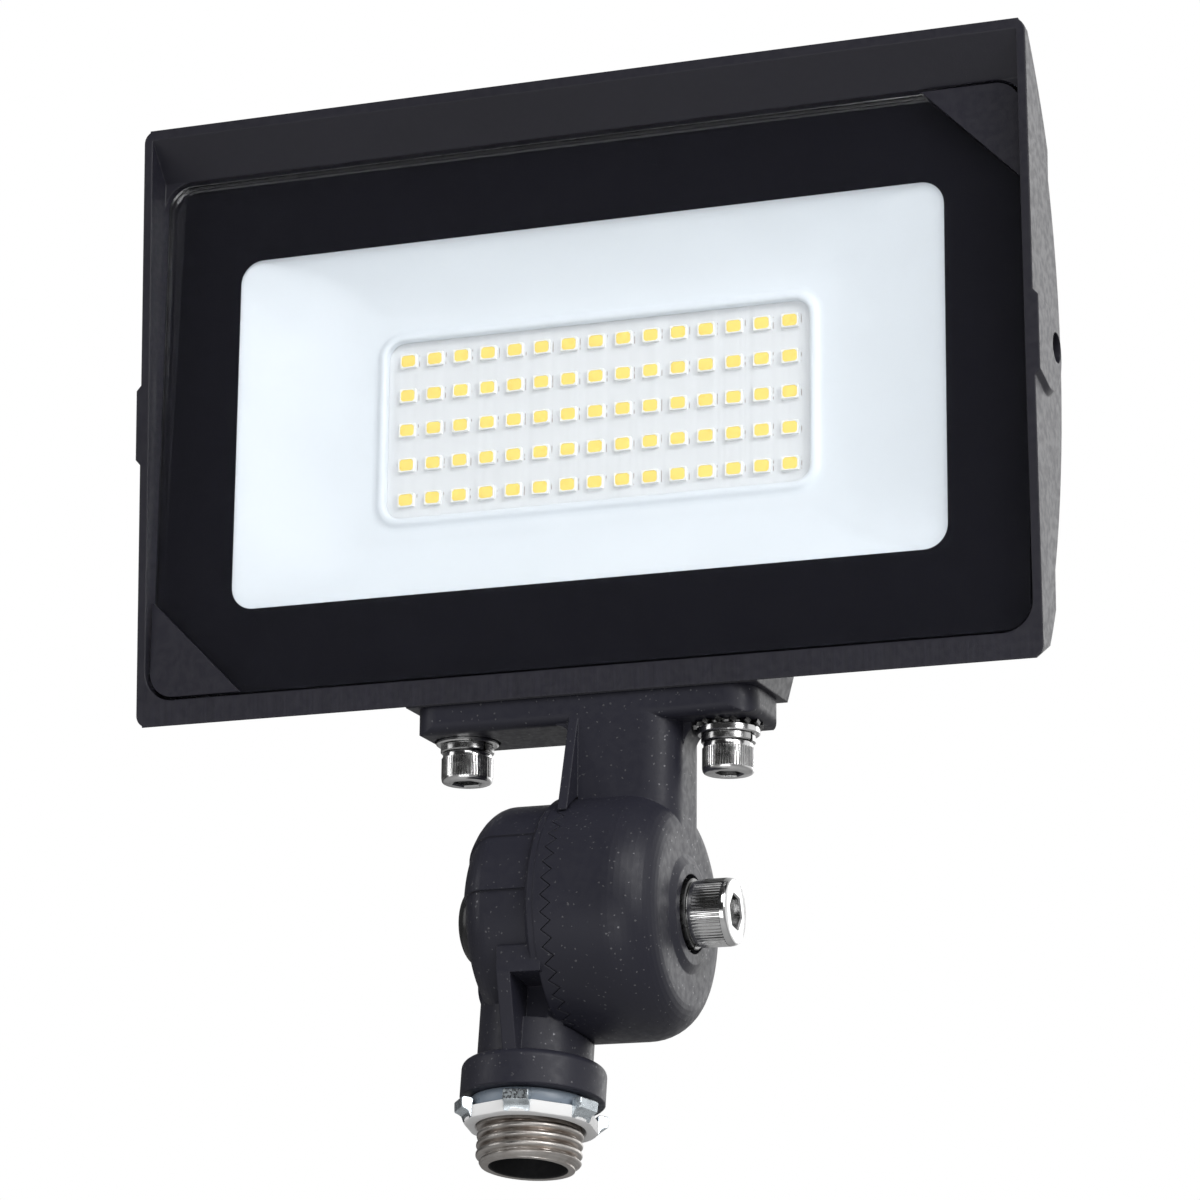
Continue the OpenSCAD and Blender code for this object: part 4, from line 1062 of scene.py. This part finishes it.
class FLOODLIGHT_OT_conduit_end(bpy.types.Operator):
    """Makes the threaded nipple, the sealing ring and the lugged locknut"""
    bl_idname = "flood_light.conduit_end"
    bl_label = "Conduit End"

    def execute(self, context):
        finish = context.scene.flood_light_finishes
        fasteners = context.scene.flood_light_fasteners
        bare = bare_tube("bare_cast_zinc", tint(finish.nipple, 1.3))
        values = {"Pitch": fasteners.thread_pitch, "Depth": fasteners.thread_depth,
                  "Least Radius": 9.0 * MM, "Lead In": 1.6 * MM, "End": -13.4 * MM}
        repeated("threaded_tube", nipple_shell(), thread_tree(), values, HERE, bare, "stem",
                 "nipple", "nipple_metal")
        rubber = plain_finish("sealing_ring_rubber", tint(finish.ring, 0.9), 0.3,
                              depth=0.02 * MM)
        soft = [(10.45, -2.4), (10.75, -2.7), (11.5, -2.7), (11.85, -2.55), (12.0, -2.2),
                (12.0, -0.5), (11.85, -0.15), (11.5, 0.0), (10.75, 0.0), (10.45, -0.3)]
        piece("soft_sealing_ring", mesh_of("soft_sealing_ring", lathe(soft)), rubber, "stem",
              "sealing_ring", "ring_grey")
        zinc = crystal_zinc("locknut_zinc", finish.zinc)
        lugs = grown("locknut_lugs", mesh_of("locknut_lug", locknut_lug()), ring_tree(),
                     {"Count": fasteners.lug_count, "Start": LUG_TURN, "Material": zinc})
        piece("lugged_locknut", joined(lugs, mesh_of("locknut_ring", locknut_ring())), zinc,
              "locknut", "locknut", "blue_zinc")
        return {"FINISHED"}


class FLOODLIGHT_OT_cover_screws(bpy.types.Operator):
    """Makes the four screws of the driver compartment's cover"""
    bl_idname = "flood_light.cover_screws"
    bl_label = "Cover Screws"

    def execute(self, context):
        chrome = context.scene.flood_light_finishes.chrome
        plating = bright_metal("cover_screw_plating", tint(chrome, 0.9), 0.2)
        place = HEAD @ moved_by(0.0, COVER_DEPTH, 0.0) @ TO_BACK
        values = {"Columns": 2, "Rows": 2, "Pitch X": 100.8 * MM, "Pitch Y": 56.0 * MM,
                  "Step": 0.0, "Turn": 0.5, "Seed": 5}
        screw = knurled_head(3.8, 2.4, ridges=40, hex_flats=2.5, shank_r=2.0, shank=9.8,
                             collar=0.3)
        repeated("cover_socket_screws", screw, grid_tree(), values, place, plating, "head",
                 "cover_screws", "bright_zinc")
        return {"FINISHED"}


class FLOODLIGHT_PT_panel(bpy.types.Panel):
    """Lists the light's sizes, finishes and steps"""
    bl_idname = "FLOODLIGHT_PT_panel"
    bl_label = "Flood Light"
    bl_space_type = "VIEW_3D"
    bl_region_type = "UI"
    bl_category = "Flood Light"

    def draw(self, context):
        for name, group in GROUPS.items():
            box = self.layout.box()
            for key in group.__annotations__:
                box.prop(getattr(context.scene, name), key)
        for operator in OPERATORS:
            self.layout.operator(operator.bl_idname)


GROUPS = {"flood_light_head": FloodLightHead, "flood_light_fasteners": FloodLightFasteners,
          "flood_light_finishes": FloodLightFinishes, "flood_light_stage": FloodLightStage}
OPERATORS = (FLOODLIGHT_OT_stage, FLOODLIGHT_OT_castings, FLOODLIGHT_OT_glass,
             FLOODLIGHT_OT_reflector, FLOODLIGHT_OT_light_board,
             FLOODLIGHT_OT_flange_fasteners, FLOODLIGHT_OT_pivot_fasteners,
             FLOODLIGHT_OT_conduit_end, FLOODLIGHT_OT_cover_screws)


def register():
    for name, group in GROUPS.items():
        bpy.utils.register_class(group)
        setattr(bpy.types.Scene, name, bpy.props.PointerProperty(type=group))
    for entry in OPERATORS + (FLOODLIGHT_PT_panel,):
        bpy.utils.register_class(entry)


def unregister():
    for entry in reversed(OPERATORS + (FLOODLIGHT_PT_panel,)):
        bpy.utils.unregister_class(entry)
    for name, group in GROUPS.items():
        delattr(bpy.types.Scene, name)
        bpy.utils.unregister_class(group)


def main():
    register()
    bpy.ops.flood_light.stage()
    bpy.ops.flood_light.castings()
    bpy.ops.flood_light.glass()
    bpy.ops.flood_light.reflector()
    bpy.ops.flood_light.light_board()
    bpy.ops.flood_light.flange_fasteners()
    bpy.ops.flood_light.pivot_fasteners()
    bpy.ops.flood_light.conduit_end()
    bpy.ops.flood_light.cover_screws()


if __name__ == "__main__":
    main()
